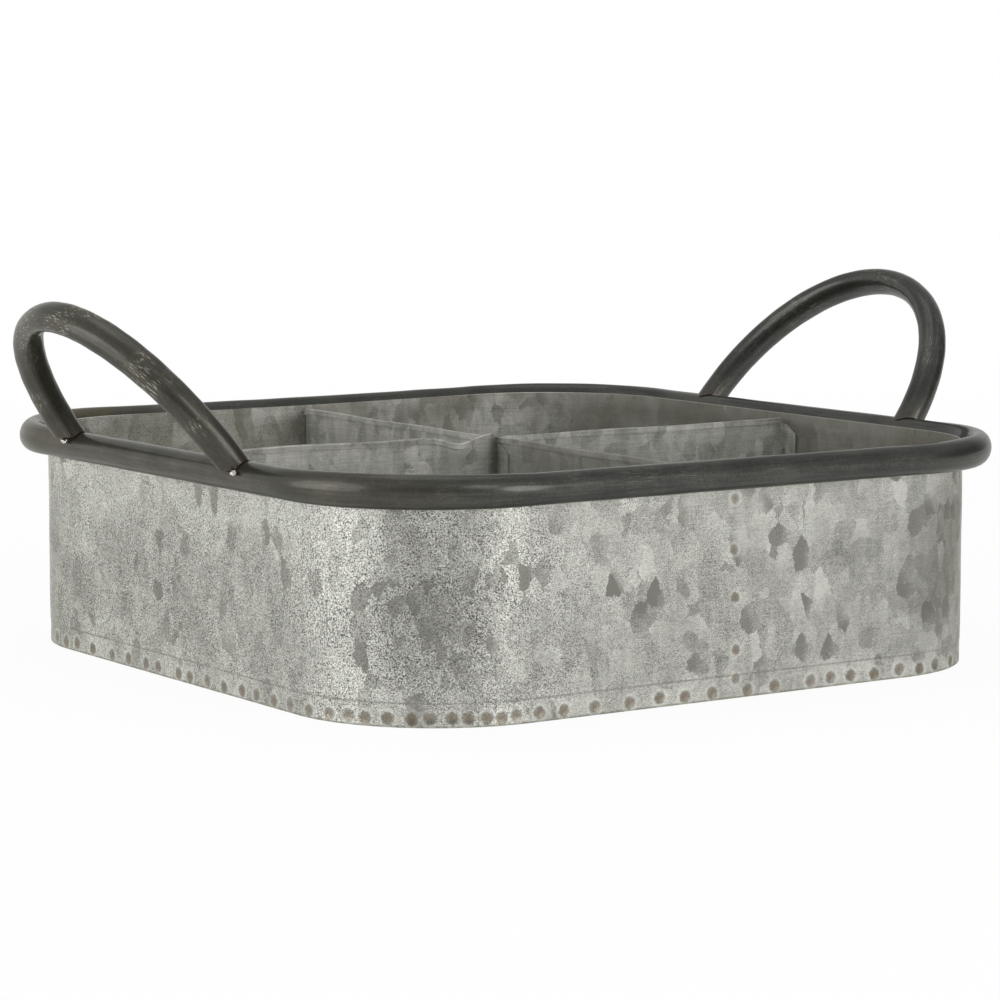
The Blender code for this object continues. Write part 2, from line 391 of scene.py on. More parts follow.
def rear_sag(points: np.ndarray, depth: float = 0.6 * MM, reach: float = 130 * MM) -> np.ndarray:
    """How far the rim and the edge of the sheet hang down along the rear of the tray.

    Args:
        points: Places on the plan.
        depth: The sag at the middle.
        reach: How far to each side it goes.

    Returns:
        One drop a place.
    """
    return depth * np.clip(1 - (points[:, 0] / reach) ** 2, 0, 1) ** 2 * (points[:, 1] > 0)


@dataclass(frozen=True)
class SpotWelds:
    """The marks that the electrodes left: a row along the foot of the walls, and a row at each divider's end."""

    height_mm: float = 3.1
    # Distances along the foot of the two walls that show, read along the row
    seen_mm: tuple[int, ...] = (
        -105, -95, -85, -71, -54, -40, -25, -15, 2, 11, 25, 38, 52, 63, 76, 88, 101, 112, 121, 128, 137, 146,
        153, 161, 167, 174, 180, 186, 196, 207, 221, 237, 251, 263, 276, 293, 306, 324, 334, 344, 356, 369, 380, 390)
    pitch_mm: tuple[float, float] = (9.0, 15.0)
    unevenness_mm: float = 0.5
    # Each weld at a divider's end: its offset to the side and its height
    end_rows_mm: tuple[tuple[float, float], ...] = (
        (4.2, 77), (3.8, 57.5), (4.6, 39), (5.0, 18.8), (5.2, 7.6))
    side_rows_mm: tuple[tuple[float, float], ...] = (
        (-3.4, 79.8), (-3.8, 60.5), (-3.1, 41), (-3.9, 22), (-3.5, 7.6))
    seed: int = 5

    def places(self, plan: Plan) -> tuple[np.ndarray, np.ndarray]:
        """The row round the whole foot.

        Args:
            plan: The body's plan.

        Returns:
            Distances along the walk in rising order, and the height of each, in metres.
        """
        draw = np.random.default_rng(self.seed)
        row = [place * MM for place in self.seen_mm]
        end = plan.length + row[0]
        while True:
            step = draw.uniform(*self.pitch_mm) * MM
            if row[-1] + step > end - self.pitch_mm[0] * MM:
                break
            row.append(row[-1] + step)
        spots = np.array(row)
        heights = (self.height_mm + draw.uniform(-self.unevenness_mm, self.unevenness_mm, len(row))) * MM
        order = np.argsort(spots % plan.length)
        return (spots % plan.length)[order], heights[order]


# ---- Finishes

# A MapRange takes a pattern, the two values that it runs between, and what they become, which is 0 and 1 where
# it isn't given. Places and heights in the finishes are in millimetres.


class SheetUse(Enum):
    """Where a galvanised sheet is, which decides the marks on it."""

    WALL = "wall"
    FLOOR = "floor"
    DIVIDER = "divider"


@dataclass(frozen=True)
class Ground:
    """What the marks on a sheet are drawn from. Places are in millimetres and noises run from 0 to 1."""

    tree: Tree
    place: Node
    read_at: Node  # the place, shifted so that no two sheets have the same pattern
    across: Socket
    along: Socket
    height: Socket
    patch: Node  # noise a thumb wide
    grain: Node  # fine noise
    inner: Socket | None  # 1 on the inner faces of the wall and the pan, and nothing on a divider


@dataclass(frozen=True)
class GalvanisedSheet:
    """Hot-dip galvanised steel sheet, unpainted.

    Zinc freezes in crystals, the spangles, each a shade lighter or darker than the next, and handling
    dulls it to a warm grey with a fine speckle and hairlines along the way that it was rolled.
    """

    name: str
    use: SheetUse
    seed: float
    spangle_mm: float = 9.0
    leaf_mm: float = 7.5
    feather_mm: float = 5.0
    cloud_mm: float = 60.0
    patch_mm: float = 30.0
    mottle_mm: float = 5.0
    grain_mm: float = 1.3
    grit_mm: float = 0.9
    speck_mm: float = 0.25
    dark: str = "#55554F"
    light: str = "#E2E2DA"
    chalk: str = "#E4E4DC"
    lead_grey: str = "#75756E"
    # A brown for blots inside the tray, which also paints the contact shadow along the foot
    stain_and_foot_shadow: str = "#74705F"
    # A dark brown for grime, also used for painted shade on the dividers and inside the walls
    stain_and_shade_dark: str = "#555349"
    # Painted shade where the short dividers meet the long one
    junction_shade: str = "#33322C"
    heat_brown: str = "#5E5445"
    rust: str = "#80694F"
    glancing: str = "#DADAD4"
    # Patches at the two front corners where dark crystals crowd and a painted dark reflection lies: the middle, the
    # reach and the share of each patch
    dark_reflection_patches: tuple[tuple[float, ...], ...] = (
        (109.0, -152.0, 46.0, 29.0, 0.7), (-128.0, -143.0, 44.0, 22.0, 0.4))
    middle_tone: float = 0.43
    divider_tone: float = 0.48
    # How far the patterns' places are shaken, and how the ones that run one way are stretched
    spangle_shake_mm: float = 7.0
    leaf_shake_mm: float = 5.0
    rolled: Point = (0.06, 0.06, 2.2)
    rolled_flat: Point = (0.06, 2.2, 0.06)
    dipped: Point = (0.3, 0.3, 0.05)
    mottle_stretch: Point = (1.0, 1.0, 0.45)
    leaf_stretch: Point = (1.15, 1.15, 0.8)
    roughness: float = 0.35
    roughness_swing: float = 0.06

    def build(self, welds: SpotWelds) -> bpy.types.Material:
        """Make the material.

        Args:
            welds: The spot welds, for their marks.

        Returns:
            The material.
        """
        material, tree = new_material(self.name)
        on = self.lay_ground(tree)
        # Spangles have crooked, feathery borders, so the place they are read at is shaken first
        crooked = shake(tree, on.read_at, self.spangle_shake_mm, Scale=1 / self.spangle_mm, Detail=4.0, Roughness=0.6)
        spangle = add(tree, "TexVoronoi", {"Vector": crooked, "Scale": 1 / self.spangle_mm}).outputs["Color"]
        crystal = add(tree, "SeparateColor", (spangle,)).outputs
        cloud = add(tree, "TexNoise", {"Vector": on.read_at, "Scale": 1 / self.cloud_mm, "Detail": 2.0})
        # The sheet was drawn upright through the zinc and rubbed along later, which left runs and hairlines
        rolled = self.rolled_flat if self.use is SheetUse.FLOOR else self.rolled
        drawn = []
        for stretch, scale, detail, rough in ((self.mottle_stretch, 1 / self.mottle_mm, 4.0, 0.62),
                                              (self.dipped, 1.0, 4.0, 0.65), (rolled, 1.0, 3.0, 0.7)):
            place = add(tree, "VectorMath", (on.read_at, stretch), **TIMES)
            drawn.append(add(tree, "TexNoise", {"Vector": place, "Scale": scale, "Detail": detail, "Roughness": rough}))
        mottle, runs, hairline = drawn

        # The crystals that froze flat to the surface show as leaves with sharp edges
        place = shake(tree, on.read_at, self.leaf_shake_mm, Scale=1 / self.feather_mm, Detail=4.0, Roughness=0.75)
        place = add(tree, "VectorMath", (place, self.leaf_stretch), **TIMES)
        cell = {"Vector": place, "Scale": 1 / self.leaf_mm}
        crystals = add(tree, "TexVoronoi", cell).outputs
        leaf = add(tree, "SeparateColor", (crystals["Color"],)).outputs
        edge = add(tree, "TexVoronoi", cell, feature="DISTANCE_TO_EDGE").outputs["Distance"]
        # Each crystal gets a painted shade, as if it lay a little askew to the light, so its tone climbs from one side
        # to the other
        inside = add(tree, "VectorMath", (place, crystals["Position"]), **MINUS)
        askew = add(tree, "VectorMath", (crystals["Color"], (0.35, 0.65, 0.4)), **MINUS)
        askew = add(tree, "VectorMath", {0: askew, "Scale": 2.2}, **STRETCH)
        painted_facet_shade = add(tree, "VectorMath", (inside, askew), operation="DOT_PRODUCT").outputs["Value"]
        painted_facet_shade = add(tree, "MapRange", (painted_facet_shade, -0.5 * self.leaf_mm, 0.5 * self.leaf_mm, -0.5, 0.5))
        painted_facet_shade = add(tree, "Math", (painted_facet_shade, leaf[1], 0.5), **TIMES_PLUS)

        middle = self.divider_tone if self.use is SheetUse.DIVIDER else self.middle_tone
        tone = weigh(tree, middle, (crystal[0], 0.05), (leaf[2], 0.17), (painted_facet_shade, 0.11), (cloud, 0.2), (mottle, 0.3),
                     (runs, 0.18), (hairline, 0.36))
        # Indoors nothing has rubbed the crystals down, so they differ more
        gain = 1.5 if on.inner is None else add(tree, "MapRange", (on.inner, 0.0, 1.0, 1.0, 1.5))
        tone = add(tree, "Math", (tone, middle), **MINUS)
        tone = add(tree, "Math", (tone, gain, middle), **TIMES_PLUS)
        fine = self.speckle(on)
        upper = add(tree, "MapRange", (on.height, 40.0, 80.0, -0.02, 0.05), **SOFTLY)
        for shift in (fine, upper):
            tone = add(tree, "Math", (tone, shift))
        # The tone is paler high up at the left end
        left = add(tree, "MapRange", (on.across, -120.0, -148.0), **SOFTLY)
        high = add(tree, "MapRange", (on.height, 48.0, 76.0, -0.02, 0.28), **SOFTLY)
        paler_high_left = add(tree, "Math", (left, high), **TIMES)
        tone = add(tree, "Math", (paler_high_left, on.patch, tone), **TIMES_PLUS)
        colour = film(tree, linear(self.dark), self.light, tone)
        colour = self.bloom_and_foot_shadow(on, self.leaves(on, leaf, edge, painted_facet_shade, colour))
        if self.use is SheetUse.DIVIDER:
            colour = self.paint_divider_shade(on, colour)
        else:
            colour = self.foot_marks(on, self.stains_and_shade(on, colour))
        if self.use is not SheetUse.FLOOR:
            colour = self.end_marks(on, colour, welds)

        relief = add(tree, "Math", (on.grain, 0.5, crystal[1]), **TIMES_PLUS)
        bump = add(tree, "Bump", {"Strength": 0.3, "Distance": 0.05 * MM, "Height": relief})
        rough = add(tree, "MapRange", (
            crystal[2], 0.0, 1.0, self.roughness - self.roughness_swing, self.roughness + self.roughness_swing))
        rough = add(tree, "Math", (fine, 0.12, rough), **TIMES_PLUS)
        metallic = 0.4
        if on.inner is not None:
            # Inside, a film of white rust and dust covers the bare metal
            metallic = add(tree, "MapRange", (on.inner, 0.0, 1.0, 0.9, 0.3))
            rough = add(tree, "Math", (on.inner, 0.2, rough), **TIMES_PLUS)
        shader = add(tree, "BsdfPrincipled", {
            "Base Color": colour, "Metallic": metallic, "Roughness": rough, "Normal": bump,
            "Specular Tint": linear(self.glancing)})
        add(tree, "OutputMaterial", {"Surface": shader})
        return material

    def lay_ground(self, tree: Tree) -> Ground:
        """Make the patterns that the marks share.

        Args:
            tree: The material's tree.

        Returns:
            The patterns.
        """
        place = add(tree, "VectorMath", {0: add(tree, "TexCoord").outputs["Object"], "Scale": TO_MM}, **STRETCH)
        read_at = add(tree, "VectorMath", (place, (self.seed * 71, self.seed * 37, self.seed * 53)))
        inner = None
        if self.use is not SheetUse.DIVIDER:
            inner = add(tree, "Attribute", attribute_name=INNER_FACE).outputs["Fac"]
        return Ground(
            tree, place, read_at, *add(tree, "SeparateXYZ", (place,)).outputs,
            patch=add(tree, "TexNoise", {"Vector": read_at, "Scale": 1 / self.patch_mm, "Detail": 2.0}),
            grain=add(tree, "TexNoise", {
                "Vector": read_at, "Scale": 1 / self.grain_mm, "Detail": 2.0, "Roughness": 0.7}),
            inner=inner)

    def speckle(self, on: Ground) -> Node:
        """Strew light and dark grains, thickest at the front left corner, where the sheet was bent and rubbed most.

        The real grains are about a tenth of a millimetre and are drawn as coarse as they need to be to show.

        Args:
            on: The sheet's patterns.

        Returns:
            A tone to add, about zero.
        """
        tree = on.tree
        speck = add(tree, "TexVoronoi", {"Vector": on.read_at, "Scale": 1 / self.speck_mm}).outputs["Color"]
        speck = add(tree, "SeparateColor", (speck,))
        grit = add(tree, "TexNoise", {"Vector": on.read_at, "Scale": 1 / self.grit_mm, "Detail": 2.0})
        both = weigh(tree, 0.0, (speck, 1.3), (grit, 0.15))
        if on.inner is None:
            return add(tree, "Math", (both, 0.22), **TIMES)
        forward = add(tree, "VectorMath", (on.place, (-0.7071, -0.7071, 0.0)), operation="DOT_PRODUCT")
        ragged = add(tree, "Math", (on.patch, 26.0, forward.outputs["Value"]), **TIMES_PLUS)
        corner = add(tree, "MapRange", (ragged, 176.0, 200.0, 0.0, 0.6), **SOFTLY)
        left = add(tree, "MapRange", (on.across, -148.0, -110.0, 0.35, 0.0), **SOFTLY)
        amount = add(tree, "MapRange", (on.across, -152.0, 40.0, 0.74, 0.33))
        for more in (corner, left):
            amount = add(tree, "Math", (amount, more))
        uneven = add(tree, "MapRange", (on.patch, 0.35, 0.65, 0.75, 1.2))
        quiet_inside = add(tree, "MapRange", (on.inner, 0.0, 1.0, 1.0, 0.8))
        for share in (uneven, quiet_inside, both):
            amount = add(tree, "Math", (amount, share), **TIMES)
        return amount

    def leaves(self, on: Ground, leaf: Sequence[Socket], edge: Socket, painted_facet_shade: Node, colour: Node) -> Node:
        """Darken the crystals that froze flat, and brighten a few others a little.

        The dark ones crowd together at the two front corners, where a painted dark reflection is laid over them, and
        are fainter on the left wall.

        Args:
            on: The sheet's patterns.
            leaf: Three random tones for each crystal.
            edge: How far in from the crystal's edge, as a share of its size.
            painted_facet_shade: A tone that climbs from one side of each crystal to the other.
            colour: The colour so far.

        Returns:
            The new colour.
        """
        tree = on.tree
        whole = add(tree, "MapRange", (edge, 0.005, 0.02))
        # Painted shade darkens each flat crystal towards one side
        darker = add(tree, "MapRange", (painted_facet_shade, 0.7, 0.4, 0.6, 1.0))
        whole = add(tree, "Math", (whole, darker), **TIMES)
        most = 0.5 if self.use is SheetUse.DIVIDER else 1.0
        strewn = add(tree, "MapRange", (on.patch, 0.42, 0.52, 0.2 * most, most))
        faint = add(tree, "MapRange", (on.across, -150.0, -138.0, 0.8, 1.0))
        strewn = add(tree, "Math", (strewn, faint), **TIMES)
        chance = leaf[0]
        # Over each patch at the front corners a painted dark reflection is laid, and dark crystals crowd there
        for *middle, reach, share in self.dark_reflection_patches if self.use is SheetUse.WALL else ():
            away = add(tree, "VectorMath", (on.place, middle), operation="DISTANCE").outputs["Value"]
            away = add(tree, "Math", (on.patch, -50.0, away), **TIMES_PLUS)
            near = add(tree, "MapRange", (away, reach - 18.0, reach - 40.0, 0.0, share), **SOFTLY)
            chance = add(tree, "Math", (chance, near))
            strewn = add(tree, "Math", (strewn, near), **LARGER)
            colour = film(tree, colour, self.lead_grey, near, 0.45)
        for code, start, end, least, full in (
                (self.lead_grey, 0.76, 0.77, 0.3, 1.0), (self.chalk, 0.12, 0.11, 0.0, 0.35)):
            chosen = add(tree, "MapRange", (chance, start, end))
            depth = add(tree, "MapRange", (leaf[1], 0.0, 1.0, least, full))
            colour = film(tree, colour, code, chosen, whole, depth, strewn)
        return colour

    def bloom_and_foot_shadow(self, on: Ground, colour: Node) -> Node:
        """Leave chalky bloom, and paint a contact shadow, with some grime, as a dark edge at the sheet's foot.

        Args:
            on: The sheet's patterns.
            colour: The colour so far.

        Returns:
            The new colour.
        """
        tree = on.tree
        bloom = add(tree, "MapRange", (on.height, 30.0, 5.0), **SOFTLY)
        for share in (on.patch, on.grain):
            bloom = add(tree, "Math", (bloom, share), **TIMES)
        colour = film(tree, colour, self.chalk, add(tree, "MapRange", (bloom, 0.18, 0.4, 0.0, 0.4)))
        # Painted contact shadow, with some grime, along the foot
        return film(tree, colour, self.stain_and_foot_shadow, add(tree, "MapRange", (on.height, 1.1, 0.3, 0.0, 0.6), **SOFTLY))

    def paint_divider_shade(self, on: Ground, colour: Node) -> Node:
        """Paint shade on the dividers.

        Args:
            on: The sheet's patterns.
            colour: The colour so far.

        Returns:
            The new colour.
        """
        tree = on.tree
        # Painted shade darkens the hems on top and the long divider's front half
        hem = add(tree, "MapRange", (on.height, 86.4, 87.8, 0.0, 0.25), **SOFTLY)
        colour = film(tree, colour, self.stain_and_shade_dark, hem)
        beside = add(tree, "Math", (on.across,), operation="ABSOLUTE")
        long_one = add(tree, "MapRange", (beside, 4.0, 2.0))
        front = add(tree, "MapRange", (on.along, 0.0, -25.0, 0.0, 0.5))
        colour = film(tree, colour, self.stain_and_shade_dark, long_one, front)
        # Painted shade stands in the corners where the short dividers meet the long one
        level = add(tree, "CombineXYZ", (on.across, on.along))
        away = add(tree, "VectorMath", (level,), operation="LENGTH").outputs["Value"]
        return film(tree, colour, self.junction_shade, add(tree, "MapRange", (away, 5.0, 1.0, 0.0, 0.7)))

    def stains_and_shade(self, on: Ground, colour: Node) -> Node:
        """Paint shade, with grime, in the crease and under the rim; shade the inner right wall; leave a rubbed top edge
        and brown blots inside.

        Args:
            on: The sheet's patterns.
            colour: The colour so far.

        Returns:
            The new colour.
        """
        tree = on.tree
        # Painted shade, with some grime, along the crease over the pan's flange
        under = add(tree, "MapRange", (on.height, 8.5, 9.0))
        over = add(tree, "MapRange", (on.height, 9.6, 9.1))
        colour = film(tree, colour, self.lead_grey, under, over, on.patch)
        blot = add(tree, "MapRange", (on.patch, 0.42, 0.62, 0.05, 0.5), **SOFTLY)
        colour = film(tree, colour, self.stain_and_foot_shadow, on.inner, blot)
        colour = film(tree, colour, self.chalk, add(tree, "MapRange", (on.height, 89.8, 90.1, 0.0, 0.8)))
        # Painted shade, with some grime, under the rim inside the tray
        under_rim = add(tree, "MapRange", (on.height, 77.0, 87.0, 0.0, 0.5), **SOFTLY)
        colour = film(tree, colour, self.stain_and_shade_dark, under_rim, on.patch, on.inner)
        # Painted shade over the inner face of the right wall
        right = add(tree, "MapRange", (on.across, 110.0, 150.0, 0.0, 0.7), **SOFTLY)
        return film(tree, colour, self.stain_and_shade_dark, on.inner, right)

    def foot_marks(self, on: Ground, colour: Node) -> Node:
        """Draw the row of spot welds along the foot, at the distances that the mesh carries.

        Args:
            on: The sheet's patterns.
            colour: The colour so far.

        Returns:
            The new colour.
        """
        offset = add(on.tree, "Attribute", attribute_name=WELD_MARK).outputs["Vector"]
        distance = add(on.tree, "VectorMath", (offset,), operation="LENGTH").outputs["Value"]
        return self.mark(on, colour, distance, reach=3.0, strength=0.72)

    def end_marks(self, on: Ground, colour: Node, welds: SpotWelds) -> Node:
        """Draw the upright rows of spot welds where the dividers' flanges meet the walls.

        Args:
            on: The sheet's patterns.
            colour: The colour so far.
            welds: The spot welds.

        Returns:
            The new colour.
        """
        tree, far = on.tree, 40.0
        # The flanges show less of each weld than the walls do
        worn = 0.35 if self.use is SheetUse.DIVIDER else 1.0
        for spots, across, through, wall, strength in (
                (welds.end_rows_mm, on.across, on.along, 152.0, 0.65),
                (welds.side_rows_mm, on.along, on.across, 149.0, 0.45)):
            place = add(tree, "CombineXYZ", {"X": across, "Z": on.height})
            depth = add(tree, "Math", (through,), operation="ABSOLUTE")
            nearest = add(tree, "MapRange", (depth, wall, wall - 1.0, far, 0.0))
            for side, height in spots:
                spot = add(tree, "VectorMath", (place, (side, 0.0, height)), operation="DISTANCE").outputs["Value"]
                nearest = add(tree, "Math", (nearest, spot), **SMALLER)
            off_wall = add(tree, "MapRange", (depth, wall, wall - 1.0, 0.0, far))
            nearest = add(tree, "Math", (nearest, off_wall))
            colour = self.mark(on, colour, nearest, reach=2.4, strength=strength * worn)
        return colour

    def mark(self, on: Ground, colour: Node, distance: Pattern, reach: float, strength: float) -> Node:
        """Draw spot welds: each a heat-browned disc with a soft dark edge and a faint pale halo.

        Args:
            on: The sheet's patterns; one makes a weld fainter than the next, and another breaks its edge up.
            colour: The colour so far.
            distance: Distance from the weld's middle, in millimetres.
            reach: The disc's radius, in millimetres.
            strength: How much of the zinc burnt off.

        Returns:
            The new colour.
        """
        tree = on.tree
        ragged = add(tree, "MapRange", (on.grain, 0.3, 0.7, -0.3, 0.3))
        radius = add(tree, "Math", (distance, ragged))
        halo = add(tree, "MapRange", (radius, reach + 1.2, reach + 0.3, 0.0, 0.3 * strength), **SOFTLY)
        colour = film(tree, colour, self.chalk, halo)
        disc = add(tree, "MapRange", (radius, reach + 0.1, 0.6 * reach), **SOFTLY)
        burnt = add(tree, "MapRange", (on.patch, 0.35, 0.6, 0.75 * strength, strength))
        colour = film(tree, colour, self.heat_brown, disc, burnt)
        heart = add(tree, "MapRange", (radius, 0.55 * reach, 0.2, 0.0, 0.7 * strength), **SOFTLY)
        return film(tree, colour, self.rust, heart)


@dataclass(frozen=True)
class BlackBar:
    """Hot-rolled mild steel bar, blackened and waxed.

    The mill scale is near black with a soft sheen along the bar; where hands and cloths rub it a little
    steel shows through, and the welds at the handles' feet left a reddish-brown tint.
    """

    name: str
    feet: tuple[Point, ...]
    cloud_mm: float = 28.0
    pits_per_mm: float = 0.9  # pits and bumps of the scale, a little over a millimetre
    streaks_per_mm: float = 0.55  # drawn along the bar, about two millimetres wide
    far_mm: float = 1000.0  # farther than any place on the tray is from a foot
    scale_black: str = "#323330"
    worn: str = "#4E4F4A"
    bare: str = "#C2C1B6"
    handled: str = "#5B5441"
    heat_brown: str = "#5B493C"
    glancing: str = "#CACAC4"
    roughness: float = 0.45
    roughness_swing: float = 0.08
    wax: float = 0.35
    wax_roughness: float = 0.12

    def build(self) -> bpy.types.Material:
        """Make the material.

        Returns:
            The material.
        """
        material, tree = new_material(self.name)
        place = add(tree, "Attribute", attribute_name=BAR_PLACE).outputs["Vector"]
        side = add(tree, "Attribute", attribute_name=BAR_SIDE).outputs["Fac"]
        # Both attributes are in millimetres; the first two axes run along the bar, so they are read coarsely
        drawn = add(tree, "VectorMath", (place, (0.05, 0.05, 1.0)), **TIMES)
        streak = add(tree, "TexNoise", {
            "Vector": drawn, "W": side, "Scale": self.streaks_per_mm, "Detail": 4.0, "Roughness": 0.65},
            noise_dimensions="4D")
        spot = add(tree, "VectorMath", {0: add(tree, "TexCoord").outputs["Object"], "Scale": TO_MM}, **STRETCH)
        cloud = add(tree, "TexNoise", {
            "Vector": spot, "Scale": 1 / self.cloud_mm, "Detail": 4.0, "Roughness": 0.6})
        pitting = add(tree, "TexNoise", {"Vector": spot, "Scale": self.pits_per_mm, "Detail": 3.0, "Roughness": 0.75})
        tone = add(tree, "Math", (streak, 0.9), **TIMES)
        tone = add(tree, "Math", (cloud, 0.8, tone), **TIMES_PLUS)
        tone = add(tree, "Math", (pitting, 0.6, tone), **TIMES_PLUS)
        tone = add(tree, "MapRange", (tone, 0.85, 1.5), **SOFTLY)
        colour = film(tree, linear(self.scale_black), self.worn, tone)
        axes = add(tree, "SeparateXYZ", (spot,)).outputs
        colour = self.scratch(tree, place, side, axes, cloud, colour)
        colour = self.heat(tree, spot, axes, cloud, pitting, colour)
        swing = self.roughness_swing
        rough = add(tree, "MapRange", (streak, 0.3, 0.7, self.roughness + swing, self.roughness - swing))
        bump = add(tree, "Bump", {"Strength": 0.3, "Distance": 0.08 * MM, "Height": pitting})
        shader = add(tree, "BsdfPrincipled", {
            "Base Color": colour, "Metallic": 0.8, "Roughness": rough, "Normal": bump,
            "Specular Tint": linear(self.glancing), "Coat Weight": self.wax, "Coat Roughness": self.wax_roughness})
        add(tree, "OutputMaterial", {"Surface": shader})
        return material

    def scratch(self, tree: Tree, place: Socket, side: Socket, axes: Sequence[Socket], cloud: Node,
                colour: Node) -> Node:
        """Rub bare steel through in short streaks along the bar, most of them on the left handle.

        Args:
            tree: The material's tree.
            place: The place along and across the bar.
            side: The rest of the place across it.
            axes: The place on the tray, axis by axis, in millimetres.
            cloud: Broad noise.
            colour: The colour so far.

        Returns:
            The new colour.
        """
        drawn = add(tree, "VectorMath", (place, (0.2, 0.2, 2.0)), **TIMES)
        across = add(tree, "Math", (side, 2.0), **TIMES)
        line = add(tree, "TexNoise", {"Vector": drawn, "W": across, "Scale": 1.0, "Detail": 2.0}, noise_dimensions="4D")
        line = add(tree, "MapRange", (line, 0.57, 0.64))
        rubbed = add(tree, "MapRange", (cloud, 0.48, 0.56))
        raised = add(tree, "MapRange", (axes[2], 96.0, 104.0, 0.08, 0.9))
        left = add(tree, "MapRange", (axes[0], 50.0, -50.0, 0.2, 1.0))
        return film(tree, colour, self.bare, line, rubbed, raised, left)

    def heat(self, tree: Tree, spot: Node, axes: Sequence[Socket], cloud: Node, pitting: Node, colour: Node) -> Node:
        """Tint the steel round the handles' feet and at the left end, and leave a few rust specks elsewhere.

        Args:
            tree: The material's tree.
            spot: The place on the tray, in millimetres.
            axes: The same, axis by axis.
            cloud: Broad noise.
            pitting: Fine noise.
            colour: The colour so far.

        Returns:
            The new colour.
        """
        # The left end has turned browner than the rest, most of all at its rear corner
        brown = add(tree, "MapRange", (axes[0], -90.0, -165.0, 0.0, 0.4), **SOFTLY)
        rearward = add(tree, "Math", (axes[1], axes[0]), **MINUS)
        rear = add(tree, "MapRange", (rearward, 215.0, 265.0), **SOFTLY)
        brown = add(tree, "Math", (brown, rear), **LARGER)
        patchy = add(tree, "MapRange", (cloud, 0.4, 0.6, 0.4, 0.9))
        colour = film(tree, colour, self.handled, brown, patchy)
        nearest = self.far_mm
        for foot in self.feet:
            middle = [part / MM for part in foot]
            away = add(tree, "VectorMath", (spot, middle), operation="DISTANCE").outputs["Value"]
            nearest = add(tree, "Math", (nearest, away), **SMALLER)
        near = add(tree, "MapRange", (nearest, 12.0, 4.0))
        mottled = add(tree, "MapRange", (pitting, 0.35, 0.6))
        colour = film(tree, colour, self.heat_brown, near, mottled, 0.5)
        return film(tree, colour, self.heat_brown, add(tree, "MapRange", (pitting, 0.68, 0.74, 0.0, 0.5)))


@dataclass(frozen=True)
class WeldMetal:
    """Bright, freshly frozen weld metal: smooth and silvery, with a faint ripple and a straw-coloured edge."""

    name: str
    ripples_per_m: float = 900.0  # a little over a millimetre each
    silver: str = "#D9D7D0"
    straw: str = "#9A8D78"

    def build(self) -> bpy.types.Material:
        """Make the material.

        Returns:
            The material.
        """
        material, tree = new_material(self.name)
        place = add(tree, "TexCoord").outputs["Object"]
        ripple = add(tree, "TexNoise", {"Vector": place, "Scale": self.ripples_per_m, "Detail": 2.0})
        colour = film(tree, linear(self.silver), self.straw, add(tree, "MapRange", (ripple, 0.5, 0.75)))
        rough = add(tree, "MapRange", (ripple, 0.0, 1.0, 0.15, 0.4))
        bump = add(tree, "Bump", {"Strength": 0.4, "Distance": 0.1 * MM, "Height": ripple})
        shader = add(tree, "BsdfPrincipled", {
            "Base Color": colour, "Metallic": 1.0, "Roughness": rough, "Normal": bump})
        add(tree, "OutputMaterial", {"Surface": shader})
        return material


@dataclass(frozen=True)
class Finishes:
    """Every finish on the tray."""

    wall: bpy.types.Material
    base: bpy.types.Material
    divider: bpy.types.Material
    bar: bpy.types.Material
    weld: bpy.types.Material


# ---- The tray's sub-assemblies


def dress(piece: Piece, node: str, finish: bpy.types.Material) -> None:
    """Give a piece its finish and let it stand for its CAD node.

    Args:
        piece: The finished piece.
        node: The CAD node that it replaces.
        finish: Its material.
    """
    piece.data.materials.clear()
    piece.data.materials.append(finish)
    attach(piece, "root")
    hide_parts(node)
    LOG.info("%s: %d points, stands for %s", piece.name, len(piece.data.vertices), node)


